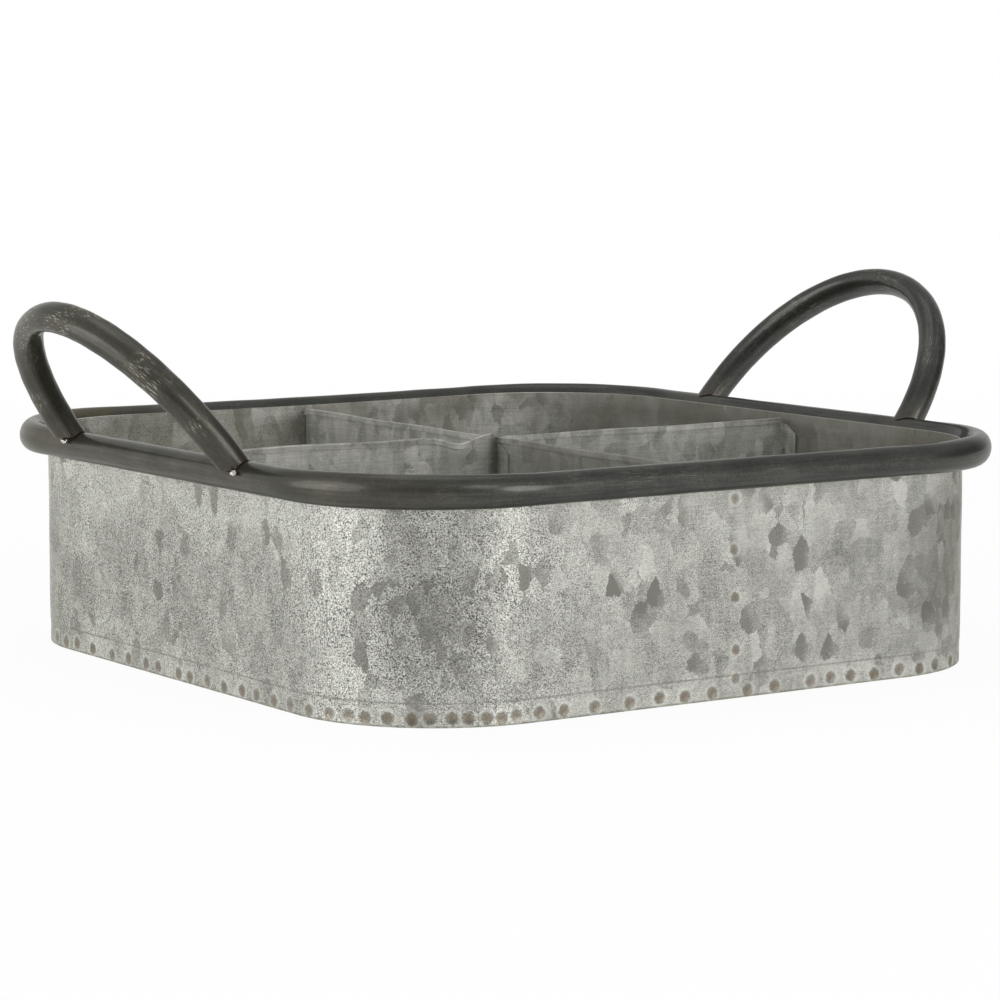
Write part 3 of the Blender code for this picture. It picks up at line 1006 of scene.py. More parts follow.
@dataclass
class Body:
    """The band of sheet that makes the four walls, and the pan set into it upside down."""

    plan: Plan
    height: float
    welds: SpotWelds
    wall_sheet: float = 0.8 * MM
    base_sheet: float = 0.8 * MM
    floor_height: float = 9.0 * MM
    base_bend: float = 1.4 * MM
    clearance: float = 0.3 * MM
    step: float = 1.1 * MM
    base_step: float = 3.0 * MM
    crease_height: float = 8.8 * MM
    crease_depth: float = 0.2 * MM
    # A weld's dimple, the low ring that was pushed up round it, and the sheet's bulge between two welds
    dimple_depth: float = 0.2 * MM
    dimple_mm: float = 1.4
    ring_height: float = 0.06 * MM
    ring_mm: float = 2.5
    ring_width_mm: float = 0.5
    quilt_depth: float = 0.05 * MM
    quilt_mm: float = 4.0
    wall_wave: float = 0.16 * MM
    wall_waves_mm: tuple[float, ...] = (120, 70, 38)
    wall_seed: int = 3
    floor_wave: float = 0.35 * MM
    floor_waves_mm: tuple[float, ...] = (150, 85, 50)
    floor_seed: int = 8
    # The heights between which the sheet takes up the sag of the rim
    sag_from: float = 60 * MM
    sag_full: float = 88 * MM
    edge_round: float = 0.25 * MM

    @classmethod
    def from_frame(cls, corner_radius: float, welds: SpotWelds) -> "Body":
        """Size the body by the CAD wall.

        Args:
            corner_radius: Outer radius of the body's corners.
            welds: The spot welds.

        Returns:
            The body.
        """
        _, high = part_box("wall_band")
        return cls(Plan(high.x, high.y, corner_radius), high.z, welds)

    def stations(self, spots: np.ndarray, step: float) -> np.ndarray:
        """Distances along the walk with a point at each weld and halfway between them.

        Args:
            spots: Where the welds are.
            step: The widest step between points.

        Returns:
            Distances in rising order, all under the plan's length.
        """
        ahead = np.append(spots[1:], spots[0] + self.plan.length)
        knots = np.sort(np.concatenate([spots, (spots + ahead) / 2]))
        after = np.append(knots[1:], knots[0] + self.plan.length)
        runs = [np.linspace(a, b, max(1, math.ceil((b - a) / step)), endpoint=False) for a, b in zip(knots, after)]
        return np.sort(np.concatenate(runs) % self.plan.length)

    def weld_offsets(self, places: np.ndarray) -> tuple[np.ndarray, np.ndarray]:
        """How far each place along the walk is from its nearest weld, and how high that weld is.

        Args:
            places: Distances along the walk.

        Returns:
            Distances along the walk to the weld, and the weld's height.
        """
        spots, heights = self.welds.places(self.plan)
        gap = np.abs(places[:, None] - spots[None, :])
        gap = np.minimum(gap, self.plan.length - gap)
        nearest = gap.argmin(1)
        return gap.min(1), heights[nearest]

    def shell(self, name: str, section: np.ndarray, places: np.ndarray, dent: Callable) -> Piece:
        """Carry a section round the plan.

        Args:
            name: The piece's name.
            section: Inset and height of each point of the section, in a closed loop.
            places: Distances along the walk.
            dent: Gives how far each point moves outward, from its place on the plan, its inset, its height
                and its offset from the nearest weld.

        Returns:
            The piece, with the weld marks stored on it.
        """
        points, facing = self.plan.at(places)
        along, weld_height = self.weld_offsets(places)
        rows = len(section)
        inset, height = np.repeat(section, places.size, 0).T
        gap = np.tile(along, rows)
        mark = np.stack([gap, height - np.tile(weld_height, rows), 0 * gap], 1) / MM
        out, base = np.tile(facing, (rows, 1)), np.tile(points, (rows, 1))
        move = dent(base, inset, height, mark) - inset
        base = base + out * move[:, None]
        base[:, 2] = height - rear_sag(base) * smooth_step(height, self.sag_from, self.sag_full)
        piece = make_piece(name, base, grid_faces(rows, places.size, True, True))
        put_attribute(piece, WELD_MARK, mark)
        put_attribute(piece, INNER_FACE, smooth_step(inset, 0.3 * self.wall_sheet, 0.7 * self.wall_sheet))
        return piece

    def wall_dents(self, base: np.ndarray, inset: np.ndarray, height: np.ndarray, mark: np.ndarray) -> np.ndarray:
        """How far the wall stands proud: the crease over the pan's flange, the weld dimples and the sheet's waves.

        Args:
            base: Places on the plan.
            inset: How deep in the sheet.
            height: Height above the table.
            mark: Offset from the nearest weld, in millimetres.

        Returns:
            Outward moves.
        """
        below = smooth_step(height, self.crease_height + 0.6 * MM, self.crease_height - 0.3 * MM)
        radius = np.hypot(mark[:, 0], mark[:, 1])
        outer = smooth_step(inset, self.wall_sheet, 0.0)
        dimple = self.dimple_depth * np.exp(-(radius / self.dimple_mm) ** 2)
        dimple = dimple - self.ring_height * np.exp(-((radius - self.ring_mm) / self.ring_width_mm) ** 2)
        quilt = self.quilt_depth * below * (1 - np.exp(-(radius / self.quilt_mm) ** 2))
        free = smooth_step(height, self.crease_height, 20 * MM) * smooth_step(height, 80 * MM, 58 * MM)
        place = np.column_stack([base[:, :2], height])
        sheet = self.wall_wave * waves(place, self.wall_waves_mm, self.wall_seed) * free
        return sheet + quilt - self.crease_depth * below - dimple * outer

    def build_wall(self) -> Piece:
        """Make the band of sheet.

        Returns:
            The piece.
        """
        spots, _ = self.welds.places(self.plan)
        places = self.stations(spots, self.step)
        # The outer face has its points closest over the welds and round the crease
        low = np.concatenate([np.arange(0.15, 6.4, 0.55), [7.2, 8.0, 8.4, 8.8, 9.2, 9.7, 10.6, 12.5]]) * MM
        edge, top, turn, half_turn = self.wall_sheet, self.height, self.edge_round, 0.08 * MM
        outer = np.concatenate([low, np.linspace(15 * MM, top - turn, 28)])
        lip = [(half_turn, top - half_turn), (turn, top), (edge - turn, top), (edge - half_turn, top - half_turn)]
        inner = np.linspace(top - turn, 12 * MM, 12)
        inner = np.concatenate([inner, [9.2 * MM, 8.4 * MM, 4 * MM, 0.15 * MM]])
        foot = [(edge - 0.15 * MM, 0.0), (0.15 * MM, 0.0)]
        section = np.array([(0.0, z) for z in outer] + lip + [(edge, z) for z in inner] + foot)
        return self.shell("galvanised_wall_band", section, places, self.wall_dents)

    def build_base(self) -> Piece:
        """Make the pan: its raised floor, the bend and the flange turned down inside the wall.

        Returns:
            The piece.
        """
        spots, _ = self.welds.places(self.plan)
        places = self.stations(spots, self.base_step)
        points, facing = self.plan.at(places)
        outside = self.wall_sheet + self.clearance
        bend, sheet, top = self.base_bend + self.base_sheet, self.base_sheet, self.floor_height
        angles = np.linspace(0, math.pi / 2, 7)
        flange = [(outside, z * MM) for z in (0.0, 0.8, 1.6, 2.4, 3.2, 4.0, 4.8, 5.8)]
        outer = [(outside + bend * (1 - math.cos(a)), top - bend + bend * math.sin(a)) for a in angles]
        inner = [(outside + bend - self.base_bend * math.cos(a), top - bend + self.base_bend * math.sin(a))
                 for a in angles]
        shares = np.linspace(1, 0, 26)[1:-1]
        rings, heights, loose = [], [], []

        def ring(inset: float, height: float, share: float) -> None:
            """Add one ring of the pan.

            Args:
                inset: How far it is drawn in from the plan.
                height: Its height.
                share: The share of its size that it is drawn in to after that.
            """
            rings.append((points - facing * inset) * share)
            heights.append(height)
            loose.append(share < 1)

        for inset, height in flange + outer:
            ring(inset, height, 1.0)
        for share in shares:
            ring(outer[-1][0], top, share)
        turn = len(rings)
        for share in shares[::-1]:
            ring(inner[-1][0], top - sheet, share)
        for inset, height in inner[::-1] + [(outside + sheet, z) for _, z in flange[::-1]]:
            ring(inset, height, 1.0)
        count = places.size
        base = np.concatenate(rings)
        base[:, 2] = np.repeat(heights, count)
        # The flat of the floor has sprung down a little between the welds
        reach = np.minimum(self.plan.half_width - np.abs(base[:, 0]), self.plan.half_depth - np.abs(base[:, 1]))
        flat = smooth_step(reach, 6 * MM, 40 * MM) * np.repeat(loose, count)
        sprung = 0.5 + 0.5 * waves(base[:, :2], self.floor_waves_mm, self.floor_seed)
        base[:, 2] -= self.floor_wave * flat * sprung
        upper_middle = base[(turn - 1) * count:turn * count].mean(0)
        lower_middle = base[turn * count:(turn + 1) * count].mean(0)
        total = len(base)
        base = np.vstack([base, upper_middle, lower_middle])
        up = grid_faces(turn, count, False, True)
        down = grid_faces(len(rings) - turn, count, False, True) + turn * count
        ring_points = np.arange(count)
        upper = fan((turn - 1) * count + ring_points, total, False)
        lower = fan(turn * count + ring_points, total + 1, True)
        end, beside = (len(rings) - 1) * count, np.roll(ring_points, -1)
        foot = np.stack([end + ring_points, end + beside, beside, ring_points], 1)
        piece = make_piece("galvanised_base_pan", base, np.concatenate([up, down, upper, lower, foot]))
        along, weld_height = self.weld_offsets(places)
        gap = np.append(np.tile(along, len(rings)), [top, top])
        level = np.append(np.repeat(heights, count) - np.tile(weld_height, len(rings)), [top, top])
        put_attribute(piece, WELD_MARK, np.stack([gap, level, 0 * gap], 1) / MM)
        put_attribute(piece, INNER_FACE, np.ones(len(base)))
        return piece

    def make(self, finishes: Finishes) -> None:
        """Build and dress the wall and the pan."""
        dress(self.build_wall(), "wall_band", finishes.wall)
        dress(self.build_base(), "base_pan", finishes.base)


@dataclass
class Divider:
    """One folded divider: a straight web with a hem along its top and a flange turned at each end."""

    name: str
    length: float
    height: float
    hem_side: int
    place: Point
    turn: float
    seed: int
    dip: float = 0.0
    sheet: float = 0.6 * MM
    bend: float = 0.8 * MM
    flange: float = 10.0 * MM
    corner_width: float = 6.0 * MM
    corner_drop: float = 4.0 * MM
    hem_depth: float = 2.5 * MM
    hem_sheet: float = 0.45 * MM
    hem_gap: float = 0.1 * MM
    shoulder: float = 76.2 * MM
    wave: float = 0.25 * MM
    waves_mm: tuple[float, ...] = (110, 60, 33)
    top_sag: float = 0.3 * MM
    top_waves_mm: tuple[float, ...] = (140, 75)
    # The ends are held by their welds, so the waves begin a little way in
    held: tuple[float, float] = (2 * MM, 14 * MM)
    worked_top: tuple[float, float] = (12 * MM, 3 * MM)
    dip_from: float = 18.5 * MM
    dip_spread: tuple[float, float] = (8.5 * MM, 9 * MM)
    dip_lean: float = 0.5 * MM
    pitch_along: float = 3.5 * MM
    pitch_up: float = 4.0 * MM
    steps: int = 8
    sharp_degrees: float = 35

    def arc(self, middle: tuple[float, float], radius: float, start: float, end: float) -> list[tuple[float, float]]:
        """Points along an arc.

        Args:
            middle: Its centre.
            radius: Its radius.
            start: First angle.
            end: Last angle.

        Returns:
            The points.
        """
        angles = np.linspace(start, end, self.steps + 1)
        return [(middle[0] + radius * math.cos(a), middle[1] + radius * math.sin(a)) for a in angles]

    def plan_outline(self) -> list[tuple[float, float]]:
        """The web and its two flanges from above.

        Returns:
            The outline's points.
        """
        outer = self.bend + self.sheet
        near, far = (outer, outer), (self.length - outer, outer)
        down, left = -math.pi / 2, -math.pi
        return [(0, self.flange), *self.arc(near, outer, left, down), *self.arc(far, outer, down, 0),
                (self.length, self.flange), (self.length - self.sheet, self.flange),
                *self.arc(far, self.bend, 0, down), *self.arc(near, self.bend, down, left), (self.sheet, self.flange)]

    def hem_section(self) -> list[tuple[float, float]]:
        """The hem's section, across and up, with its root well down in the web.

        Returns:
            The section's points.
        """
        loop, sheet = self.hem_gap / 2, self.hem_sheet
        fold = sheet + loop
        root = self.shoulder - 1.4 * MM
        top = self.height
        points = [(-sheet, root), *((x, z + top) for x, z in self.arc((loop, -fold), fold, math.pi, 0)),
                  (self.hem_gap + sheet, top - self.hem_depth), (self.hem_gap, top - self.hem_depth),
                  *((x, z + top) for x, z in self.arc((loop, -fold), loop, 0, math.pi)), (0, root)]
        face = self.sheet if self.hem_side > 0 else 0
        return [(face + self.hem_side * x, z) for x, z in points]

    def build(self) -> Piece:
        """Make the divider where it stands.

        Returns:
            The piece.
        """
        web = extrude(self.name, [Vector((x, y, 0)) for x, y in self.plan_outline()], Vector((0, 0, self.shoulder)))
        start = self.bend + self.sheet
        hem = extrude("hem", [Vector((start, y, z)) for y, z in self.hem_section()],
                      Vector((self.length - 2 * start, 0, 0)))
        spare = 2 * MM
        inner, outer = self.flange - self.corner_width, self.flange + spare
        corner = [(inner, 0), (self.flange, -self.corner_drop), (outer, -self.corner_drop), (outer, spare),
                  (inner, spare)]
        snip = extrude("snip", [Vector((-spare, y, self.shoulder + z)) for y, z in corner],
                       Vector((self.length + 2 * spare, 0, 0)))
        for other, operation in ((hem, "UNION"), (snip, "DIFFERENCE")):
            modifier = web.modifiers.new(other.name, "BOOLEAN")
            modifier.operation, modifier.object, modifier.solver = operation, other, "EXACT"
        settle(web)
        for other in (hem, snip):
            bpy.data.objects.remove(other, do_unlink=True)
        self.work(web)
        return web

    def work(self, web: Piece) -> None:
        """Give the flat sheet its waves and its dented top, and stand it in the tray.

        Args:
            web: The divider, drawn along X from its own corner.
        """
        shape = bmesh.new()
        shape.from_mesh(web.data)
        for axis, size, pitch in ((0, self.length, self.pitch_along), (2, self.height, self.pitch_up)):
            for cut in np.arange(pitch, size, pitch):
                where, way = Vector(), Vector()
                where[axis], way[axis] = cut, 1
                geometry = list(shape.verts) + list(shape.edges) + list(shape.faces)
                bmesh.ops.bisect_plane(shape, geom=geometry, plane_co=where, plane_no=way, dist=1e-6)
        places = np.array([v.co for v in shape.verts])
        free = smooth_step(places[:, 0], *self.held) * smooth_step(self.length - places[:, 0], *self.held)
        free *= smooth_step(places[:, 2], 0, 12 * MM)
        move = self.wave * free * waves(places[:, [0, 2]], self.waves_mm, self.seed)
        start, full = self.worked_top
        upper = smooth_step(places[:, 2], self.height - start, self.height - full)
        sag = self.top_sag * (waves(places[:, :1], self.top_waves_mm, self.seed + 1) - 0.6) * free
        if self.dip:
            # The hem is crushed down just short of the long divider
            run = places[:, 0] - self.dip_from
            before, after = self.dip_spread
            share = np.exp(-(run / np.where(run > 0, after, before)) ** 2)
            sag = sag - self.dip * share
            move = move + self.dip_lean * upper * share
        for vertex, side, down in zip(shape.verts, move, sag * upper):
            vertex.co.y += side
            vertex.co.z += down
        shape.to_mesh(web.data)
        shape.free()
        web.data.shade_smooth()
        web.data.set_sharp_from_angle(angle=math.radians(self.sharp_degrees))
        web.location = self.place
        web.rotation_euler.z = self.turn
        bake_place(web)


def extrude(name: str, loop: list[Vector], way: Vector) -> Piece:
    """Make a flat loop of points into a closed solid.

    Args:
        name: The object's name.
        loop: The outline's corners in order.
        way: How far and which way it is drawn out.

    Returns:
        The object, linked to the scene.
    """
    shape = bmesh.new()
    near = [shape.verts.new(p) for p in loop]
    far = [shape.verts.new(p + way) for p in loop]
    shape.faces.new(near)
    shape.faces.new(far[::-1])
    for i, corner in enumerate(near):
        j = (i + 1) % len(near)
        shape.faces.new((near[j], corner, far[i], far[j]))
    bmesh.ops.recalc_face_normals(shape, faces=shape.faces)
    return from_shape(name, shape)


def settle(piece: Piece) -> None:
    """Apply a piece's modifiers to its mesh.

    Args:
        piece: The piece.
    """
    bpy.context.view_layer.update()
    mesh = bpy.data.meshes.new_from_object(piece.evaluated_get(bpy.context.evaluated_depsgraph_get()))
    piece.modifiers.clear()
    piece.data = mesh


def bake_place(piece: Piece) -> None:
    """Move a piece's place into its mesh, so that patterns are read in the tray's own frame.

    Args:
        piece: The piece.
    """
    bpy.context.view_layer.update()
    piece.data.transform(piece.matrix_world)
    piece.matrix_world.identity()


@dataclass
class Dividers:
    """The long divider from front to back and the two short ones that meet it in the middle."""

    body: Body
    sheet: float = 0.6 * MM
    clearance: float = 0.3 * MM
    joint: float = 0.1 * MM
    left_dip: float = 3.4 * MM

    def make(self, finishes: Finishes) -> None:
        """Build and dress the three dividers.

        Args:
            finishes: The tray's finishes.
        """
        half = self.sheet / 2
        bottom = self.body.floor_height + self.clearance
        inset = self.body.wall_sheet + self.clearance
        reach_x, reach_y = self.body.plan.half_width - inset, self.body.plan.half_depth - inset
        middle = half + self.joint
        # Each divider: its node, length, hem side, corner, turn, seed and dip
        for node, length, hem_side, corner, turn, seed, dip in (
                ("long_divider", 2 * reach_y, -1, (-half, reach_y), -math.pi / 2, 21, 0.0),
                ("short_divider_right", reach_x - middle, 1, (reach_x, half), math.pi, 31, 0.0),
                ("short_divider_left", reach_x - middle, 1, (-middle, half), math.pi, 41, self.left_dip)):
            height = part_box(node)[1].z - bottom
            divider = Divider("galvanised_" + node, length, height, hem_side, (*corner, bottom), turn, seed, dip)
            dress(divider.build(), node, finishes.divider)


@dataclass
class Rim:
    """The ring of round bar outside the wall, just below its top edge."""

    plan: Plan
    radius: float
    height: float
    offset: float
    corner_squash: float = 0.1
    wave: float = 0.06 * MM
    waves_mm: tuple[float, ...] = (47, 23)
    seed: int = 12
    step: float = 2.0 * MM
    sides: int = 40

    @classmethod
    def from_frame(cls, plan: Plan) -> "Rim":
        """Size the rim by the CAD ring.

        Args:
            plan: The body's plan.

        Returns:
            The rim.
        """
        low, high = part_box("rim_ring")
        radius = (high.z - low.z) / 2
        return cls(plan, radius, (high.z + low.z) / 2, high.x - radius - plan.half_width)

    def build(self) -> Piece:
        """Make the ring.

        Returns:
            The piece, with places along and across the bar stored on it.
        """
        count = math.ceil(self.plan.length / self.step)
        places = np.arange(count) * self.plan.length / count
        points, facing = self.plan.at(places)
        path = points + facing * self.offset
        angle = np.arange(self.sides) * 2 * math.pi / self.sides
        across, up = np.repeat(np.cos(angle), count), np.repeat(np.sin(angle), count)
        base, out = np.tile(path, (self.sides, 1)), np.tile(facing, (self.sides, 1))
        rough = self.wave * (waves(base, self.waves_mm, self.seed) - 1)
        size = self.radius + np.minimum(rough, 0)
        # Bending squashed the bar upright at the corners, and its rear run hangs a little
        squash = np.tile(self.corner_squash * 2 * np.abs(facing[:, 0] * facing[:, 1]), self.sides)
        base = base + out * (size * (1 - squash) * across)[:, None]
        base[:, 2] += self.height + size * (1 + squash) * up - np.tile(rear_sag(path), self.sides)
        piece = make_piece("black_bar_rim", base, grid_faces(self.sides, count, True, True))
        turn = np.tile(places, self.sides) * 2 * math.pi / self.plan.length
        reach = self.plan.length / (2 * math.pi)
        put_attribute(piece, BAR_PLACE, np.stack(
            [reach * np.cos(turn), reach * np.sin(turn), self.radius * across], 1) / MM)
        put_attribute(piece, BAR_SIDE, self.radius * up / MM)
        return piece

    def make(self, finishes: Finishes) -> None:
        """Build and dress the ring."""
        dress(self.build(), "rim_ring", finishes.bar)


@dataclass
class Handle:
    """A bow of the same bar that leans out from the rim, its feet shaped to sit on it.

    The bar is round at the feet and squashed to an oval towards the crown, where it was bent hardest.
    """

    name: str
    node: str
    side: int
    lean: float
    rise: float
    span: float
    shift: float
    rim: Rim
    front_lip: float = 2.6 * MM
    rear_lip: float = 4.2 * MM
    squash: float = 0.155
    squash_power: float = 1.5
    clearance: float = 0.3 * MM
    wave: float = 0.05 * MM
    waves_mm: tuple[float, ...] = (31, 17)
    seed: int = 50
    stations: int = 170
    sides: int = 40

    @property
    def rim_x(self) -> float:
        """How far the rim's centre line is from the middle."""
        return self.rim.plan.half_width + self.rim.offset

    @property
    def feet(self) -> list[Point]:
        """Where the two feet meet the rim, the front one first."""
        return [(self.side * self.rim_x, self.shift + end * self.span / 2, self.rim.height + lip)
                for end, lip in ((-1, self.front_lip), (1, self.rear_lip))]

    def surface(self, angle: np.ndarray, turn: np.ndarray, radius: np.ndarray | float) -> np.ndarray:
        """Points on the bow.

        Args:
            angle: How far along the bow, 0 at the rear foot and pi at the front one.
            turn: How far round the bar.
            radius: The bar's radius there, before it is squashed.

        Returns:
            The points, one row each.
        """
        lean_x, lean_z = self.side * math.sin(self.lean), math.cos(self.lean)
        up = self.rise * np.sin(angle)
        centre = np.stack([self.side * self.rim_x + up * lean_x, self.shift + self.span / 2 * np.cos(angle),
                           self.rim.height + up * lean_z], -1)
        slope_up, slope_y = self.rise * np.cos(angle), -self.span / 2 * np.sin(angle)
        length = np.hypot(slope_up, slope_y)
        out_up, out_y = -slope_y / length, slope_up / length
        out = np.stack([out_up * lean_x, out_y, out_up * lean_z], -1)
        across = np.array([self.side * math.cos(self.lean), 0.0, -math.sin(self.lean)])
        squash = self.squash * np.clip(np.sin(angle), 0, 1) ** self.squash_power
        ring = out * (np.cos(turn) * (1 - squash))[..., None] + across * (np.sin(turn) * (1 + squash))[..., None]
        return centre + ring * np.broadcast_to(radius, angle.shape)[..., None]

    def foot_angles(self, turn: np.ndarray, lip: float, rear: bool) -> np.ndarray:
        """How far along the bow each line of the bar ends at a foot, above the rim and the sawn lip.

        Args:
            turn: How far round the bar each line is.
            lip: How far the sawn end is above the rim's centre line.
            rear: Whether it is the rear foot.

        Returns:
            An angle for each line.
        """
        tries = np.linspace(0, 0.6, 1201)
        tries = tries if rear else math.pi - tries
        places = self.surface(*np.meshgrid(tries, turn, indexing="ij"), self.rim.radius)
        beside, above = places[..., 0] - self.side * self.rim_x, places[..., 2] - self.rim.height
        clear = (above >= lip) & (np.hypot(beside, above) >= self.rim.radius + self.clearance)
        return tries[clear.argmax(0)]

    def build(self) -> Piece:
        """Make the bow.

        Returns:
            The piece, with places along and across the bar stored on it.
        """
        turn = np.arange(self.sides) * 2 * math.pi / self.sides
        start = self.foot_angles(turn, self.rear_lip, True)
        end = self.foot_angles(turn, self.front_lip, False)
        share = np.linspace(0, 1, self.stations)
        angle = start[None, :] + (end - start)[None, :] * share[:, None]
        turns = np.broadcast_to(turn, angle.shape)
        along = angle * (self.span + self.rise) / 2
        field = np.stack([along.ravel(), 6 * MM * np.cos(turns).ravel()], 1)
        rough = self.wave * (waves(field, self.waves_mm, self.seed + self.side).reshape(angle.shape) - 1.2)
        base = self.surface(angle, turns, self.rim.radius + np.minimum(rough, 0)).reshape(-1, 3)
        total, sides = len(base), self.sides
        middles = [base[:sides].mean(0), base[-sides:].mean(0)]
        faces = grid_faces(self.stations, sides, False, True)
        first_cap = fan(np.arange(sides), total, True)
        last_cap = fan(np.arange(total - sides, total), total + 1, False)
        piece = make_piece(self.name, np.vstack([base, middles]), np.concatenate([faces, first_cap, last_cap]))
        place = np.stack([along.ravel(), 0 * along.ravel(), self.rim.radius * np.cos(turns).ravel()], 1)
        put_attribute(piece, BAR_PLACE, np.vstack([place, place[0], place[-1]]) / MM)
        put_attribute(piece, BAR_SIDE, np.append(self.rim.radius * np.sin(turns).ravel(), [0, 0]) / MM)
        return piece


@dataclass
class Handles:
    """Both bows and the bead of bright weld at each foot."""

    rim: Rim
    bead_lumps: float = 0.1
    bead_waves_mm: tuple[float, ...] = (1.6, 0.9)
    bead_seed: int = 60

    def bows(self) -> tuple[Handle, Handle]:
        """The two bows, each bent and set a little differently.

        Returns:
            The left and the right one.
        """
        return (
            Handle("black_bar_handle_left", "handle_left", -1, math.radians(37.0), 72.2 * MM, 133.5 * MM, 2.5 * MM,
                   self.rim),
            Handle("black_bar_handle_right", "handle_right", 1, math.radians(38.4), 75.1 * MM, 137.3 * MM, -3.2 * MM,
                   self.rim))

    def build_bead(self, node: str, seed: int) -> Piece:
        """Make one bead of weld where the CAD has it.

        Args:
            node: The CAD node.
            seed: Which lumps it gets.

        Returns:
            The piece.
        """
        low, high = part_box(node)
        middle, half = (low + high) / 2, (high - low) / 2
        shape = bmesh.new()
        bmesh.ops.create_icosphere(shape, subdivisions=4, radius=1)
        ways = np.array([v.co for v in shape.verts])
        lumps = 1 + self.bead_lumps * waves(ways * MM, self.bead_waves_mm, seed)
        for vertex, way, lump in zip(shape.verts, ways, lumps):
            vertex.co = middle + Vector([w * lump * h for w, h in zip(way, half)])
        bead = from_shape("bright_" + node, shape)
        bead.data.shade_smooth()
        return bead

    def make(self, finishes: Finishes) -> None:
        """Build and dress the bows and the beads.

        Args:
            finishes: The tray's finishes.
        """
        for bow in self.bows():
            dress(bow.build(), bow.node, finishes.bar)
        beads = [f"weld_bead_{side}_{foot}" for side in ("left", "right") for foot in ("front", "rear")]
        for seed, node in enumerate(beads, self.bead_seed):
            dress(self.build_bead(node, seed), node, finishes.weld)


# ---- Studio


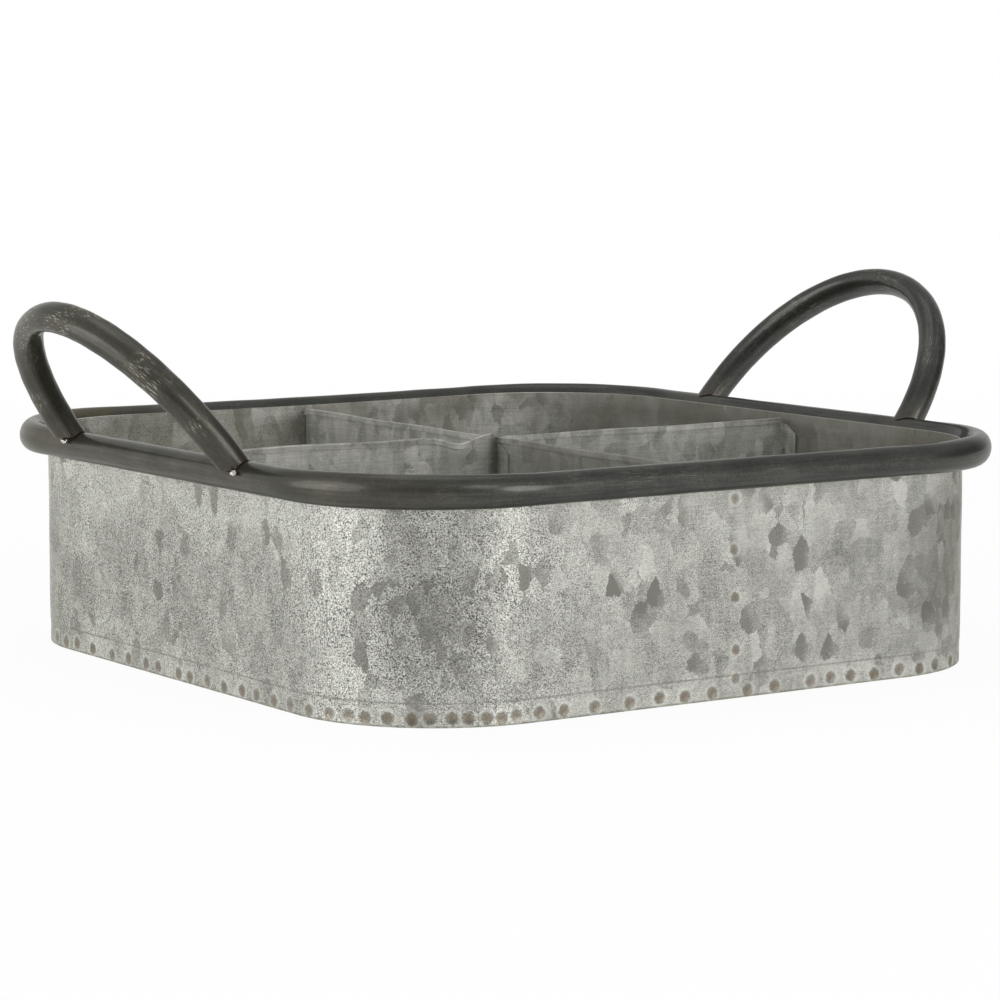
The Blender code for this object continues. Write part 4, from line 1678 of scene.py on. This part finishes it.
@dataclass
class Studio:
    """A pale floor, a white surround, soft lamps and the camera."""

    camera_place: Point = (-0.8116, -1.2057, 0.2323)
    camera_turn: Point = (math.radians(83.30), 0.0, math.radians(-34.0))
    lens: float = 126.47
    sensor_width: float = 36.0
    floor_size: float = 60.0
    lit_point: Point = (0.0, 0.0, 0.05)
    front: float = 0.1
    behind: float = 1.0
    overhead: float = 0.6
    floor_colour: str = "#F4F4F2"
    shadow_share: float = 0.06
    shadow_reach: tuple[float, float] = (0.5, 1.6)
    # Each lamp: its name, place, width and power in watts
    lamps: tuple[tuple[str, Point, float, float], ...] = (
        ("front_right", (0.72, -2.47, 0.7), 1.4, 25.5),
        ("key", (-0.3, -1.9, 1.15), 0.7, 4),
        ("left", (-2.55, 0.4, 0.7), 2.4, 38),
        ("top", (0.2, 0.4, 2.8), 2.0, 10))

    def make_camera(self) -> None:
        """Set the camera at the photograph's view."""
        data = bpy.data.cameras.new("camera")
        data.lens, data.sensor_width = self.lens, self.sensor_width
        camera = new_object("camera", data)
        camera.location, camera.rotation_euler = self.camera_place, self.camera_turn
        bpy.context.scene.camera = camera

    def make_surround(self) -> None:
        """Make a world that looks white, and lights the tray most from behind and least from the front."""
        world = bpy.data.worlds.new("surround")
        world.use_nodes = True
        tree = world.node_tree
        tree.nodes.clear()
        way = add(tree, "SeparateXYZ", {"Vector": add(tree, "TexCoord").outputs["Generated"]})
        level = add(tree, "MapRange", (way.outputs["Y"], 0.05, 0.6, self.front, self.behind), **SOFTLY)
        high = add(tree, "MapRange", (way.outputs["Z"], 0.25, 0.65), **SOFTLY)
        backdrop = add(tree, "Mix", {"Factor": high, "A": level, "B": self.overhead})
        seen = add(tree, "LightPath").outputs["Is Camera Ray"]
        strength = add(tree, "Math", (seen, backdrop), **LARGER)
        light = add(tree, "Background", {"Color": WHITE, "Strength": strength})
        add(tree, "OutputWorld", {"Surface": light})
        bpy.context.scene.world = world

    def make_floor(self) -> None:
        """Lay the pale floor, which looks white but keeps the tray's shadow."""
        half = self.floor_size / 2
        mesh = bpy.data.meshes.new("floor")
        mesh.from_pydata([(-half, -half, 0), (half, -half, 0), (half, half, 0), (-half, half, 0)], [], [(0, 1, 2, 3)])
        floor = new_object("floor", mesh)
        material, tree = new_material("pale_matt_floor")
        path = add(tree, "LightPath").outputs
        seen = add(tree, "Math", (path["Is Camera Ray"], path["Is Glossy Ray"]), **LARGER)
        away = add(tree, "VectorMath", (add(tree, "TexCoord").outputs["Object"],), operation="LENGTH").outputs["Value"]
        glowing = add(tree, "MapRange", (away, *self.shadow_reach, 1 - self.shadow_share, 1.0), **SOFTLY)
        share = add(tree, "Math", (seen, glowing), **TIMES)
        matt = add(tree, "BsdfDiffuse", {"Color": linear(self.floor_colour)})
        glow = add(tree, "Emission", {"Color": WHITE, "Strength": 1.0})
        add(tree, "OutputMaterial", {"Surface": add(tree, "MixShader", (share, matt, glow))})
        mesh.materials.append(material)

    def make_lamp(self, name: str, place: Point, size: float, power: float) -> None:
        """Hang one soft lamp that looks at the tray.

        Args:
            name: Its name.
            place: Where it hangs.
            size: How wide it is.
            power: Its power in watts.
        """
        data = bpy.data.lights.new(name, "AREA")
        data.shape, data.size, data.energy = "DISK", size, power
        lamp = new_object(name, data)
        lamp.location = place
        lamp.rotation_euler = (Vector(self.lit_point) - Vector(place)).to_track_quat("-Z", "Y").to_euler()

    def make(self) -> None:
        """Set up everything but the object."""
        bpy.context.scene.view_settings.view_transform = "Standard"
        self.make_camera()
        self.make_surround()
        self.make_floor()
        for lamp in self.lamps:
            self.make_lamp(*lamp)
        LOG.info("studio: camera, floor, surround and lamps")


def main() -> None:
    """Build the tray, piece by piece, then the studio round it."""
    logging.basicConfig(level=logging.INFO, format="%(name)s %(message)s")
    welds = SpotWelds()
    body = Body.from_frame(62 * MM, welds)
    rim = Rim.from_frame(body.plan)
    handles = Handles(rim)
    feet = tuple(foot for bow in handles.bows() for foot in bow.feet)
    finishes = Finishes(
        wall=GalvanisedSheet("galvanised_steel_wall", SheetUse.WALL, 1.0).build(welds),
        base=GalvanisedSheet("galvanised_steel_base", SheetUse.FLOOR, 2.0).build(welds),
        divider=GalvanisedSheet("galvanised_steel_divider", SheetUse.DIVIDER, 3.0).build(welds),
        bar=BlackBar("blackened_steel_bar", feet).build(),
        weld=WeldMetal("bright_weld_metal").build(),
    )
    body.make(finishes)
    Dividers(body).make(finishes)
    rim.make(finishes)
    handles.make(finishes)
    Studio().make()


if __name__ == "__main__":
    main()
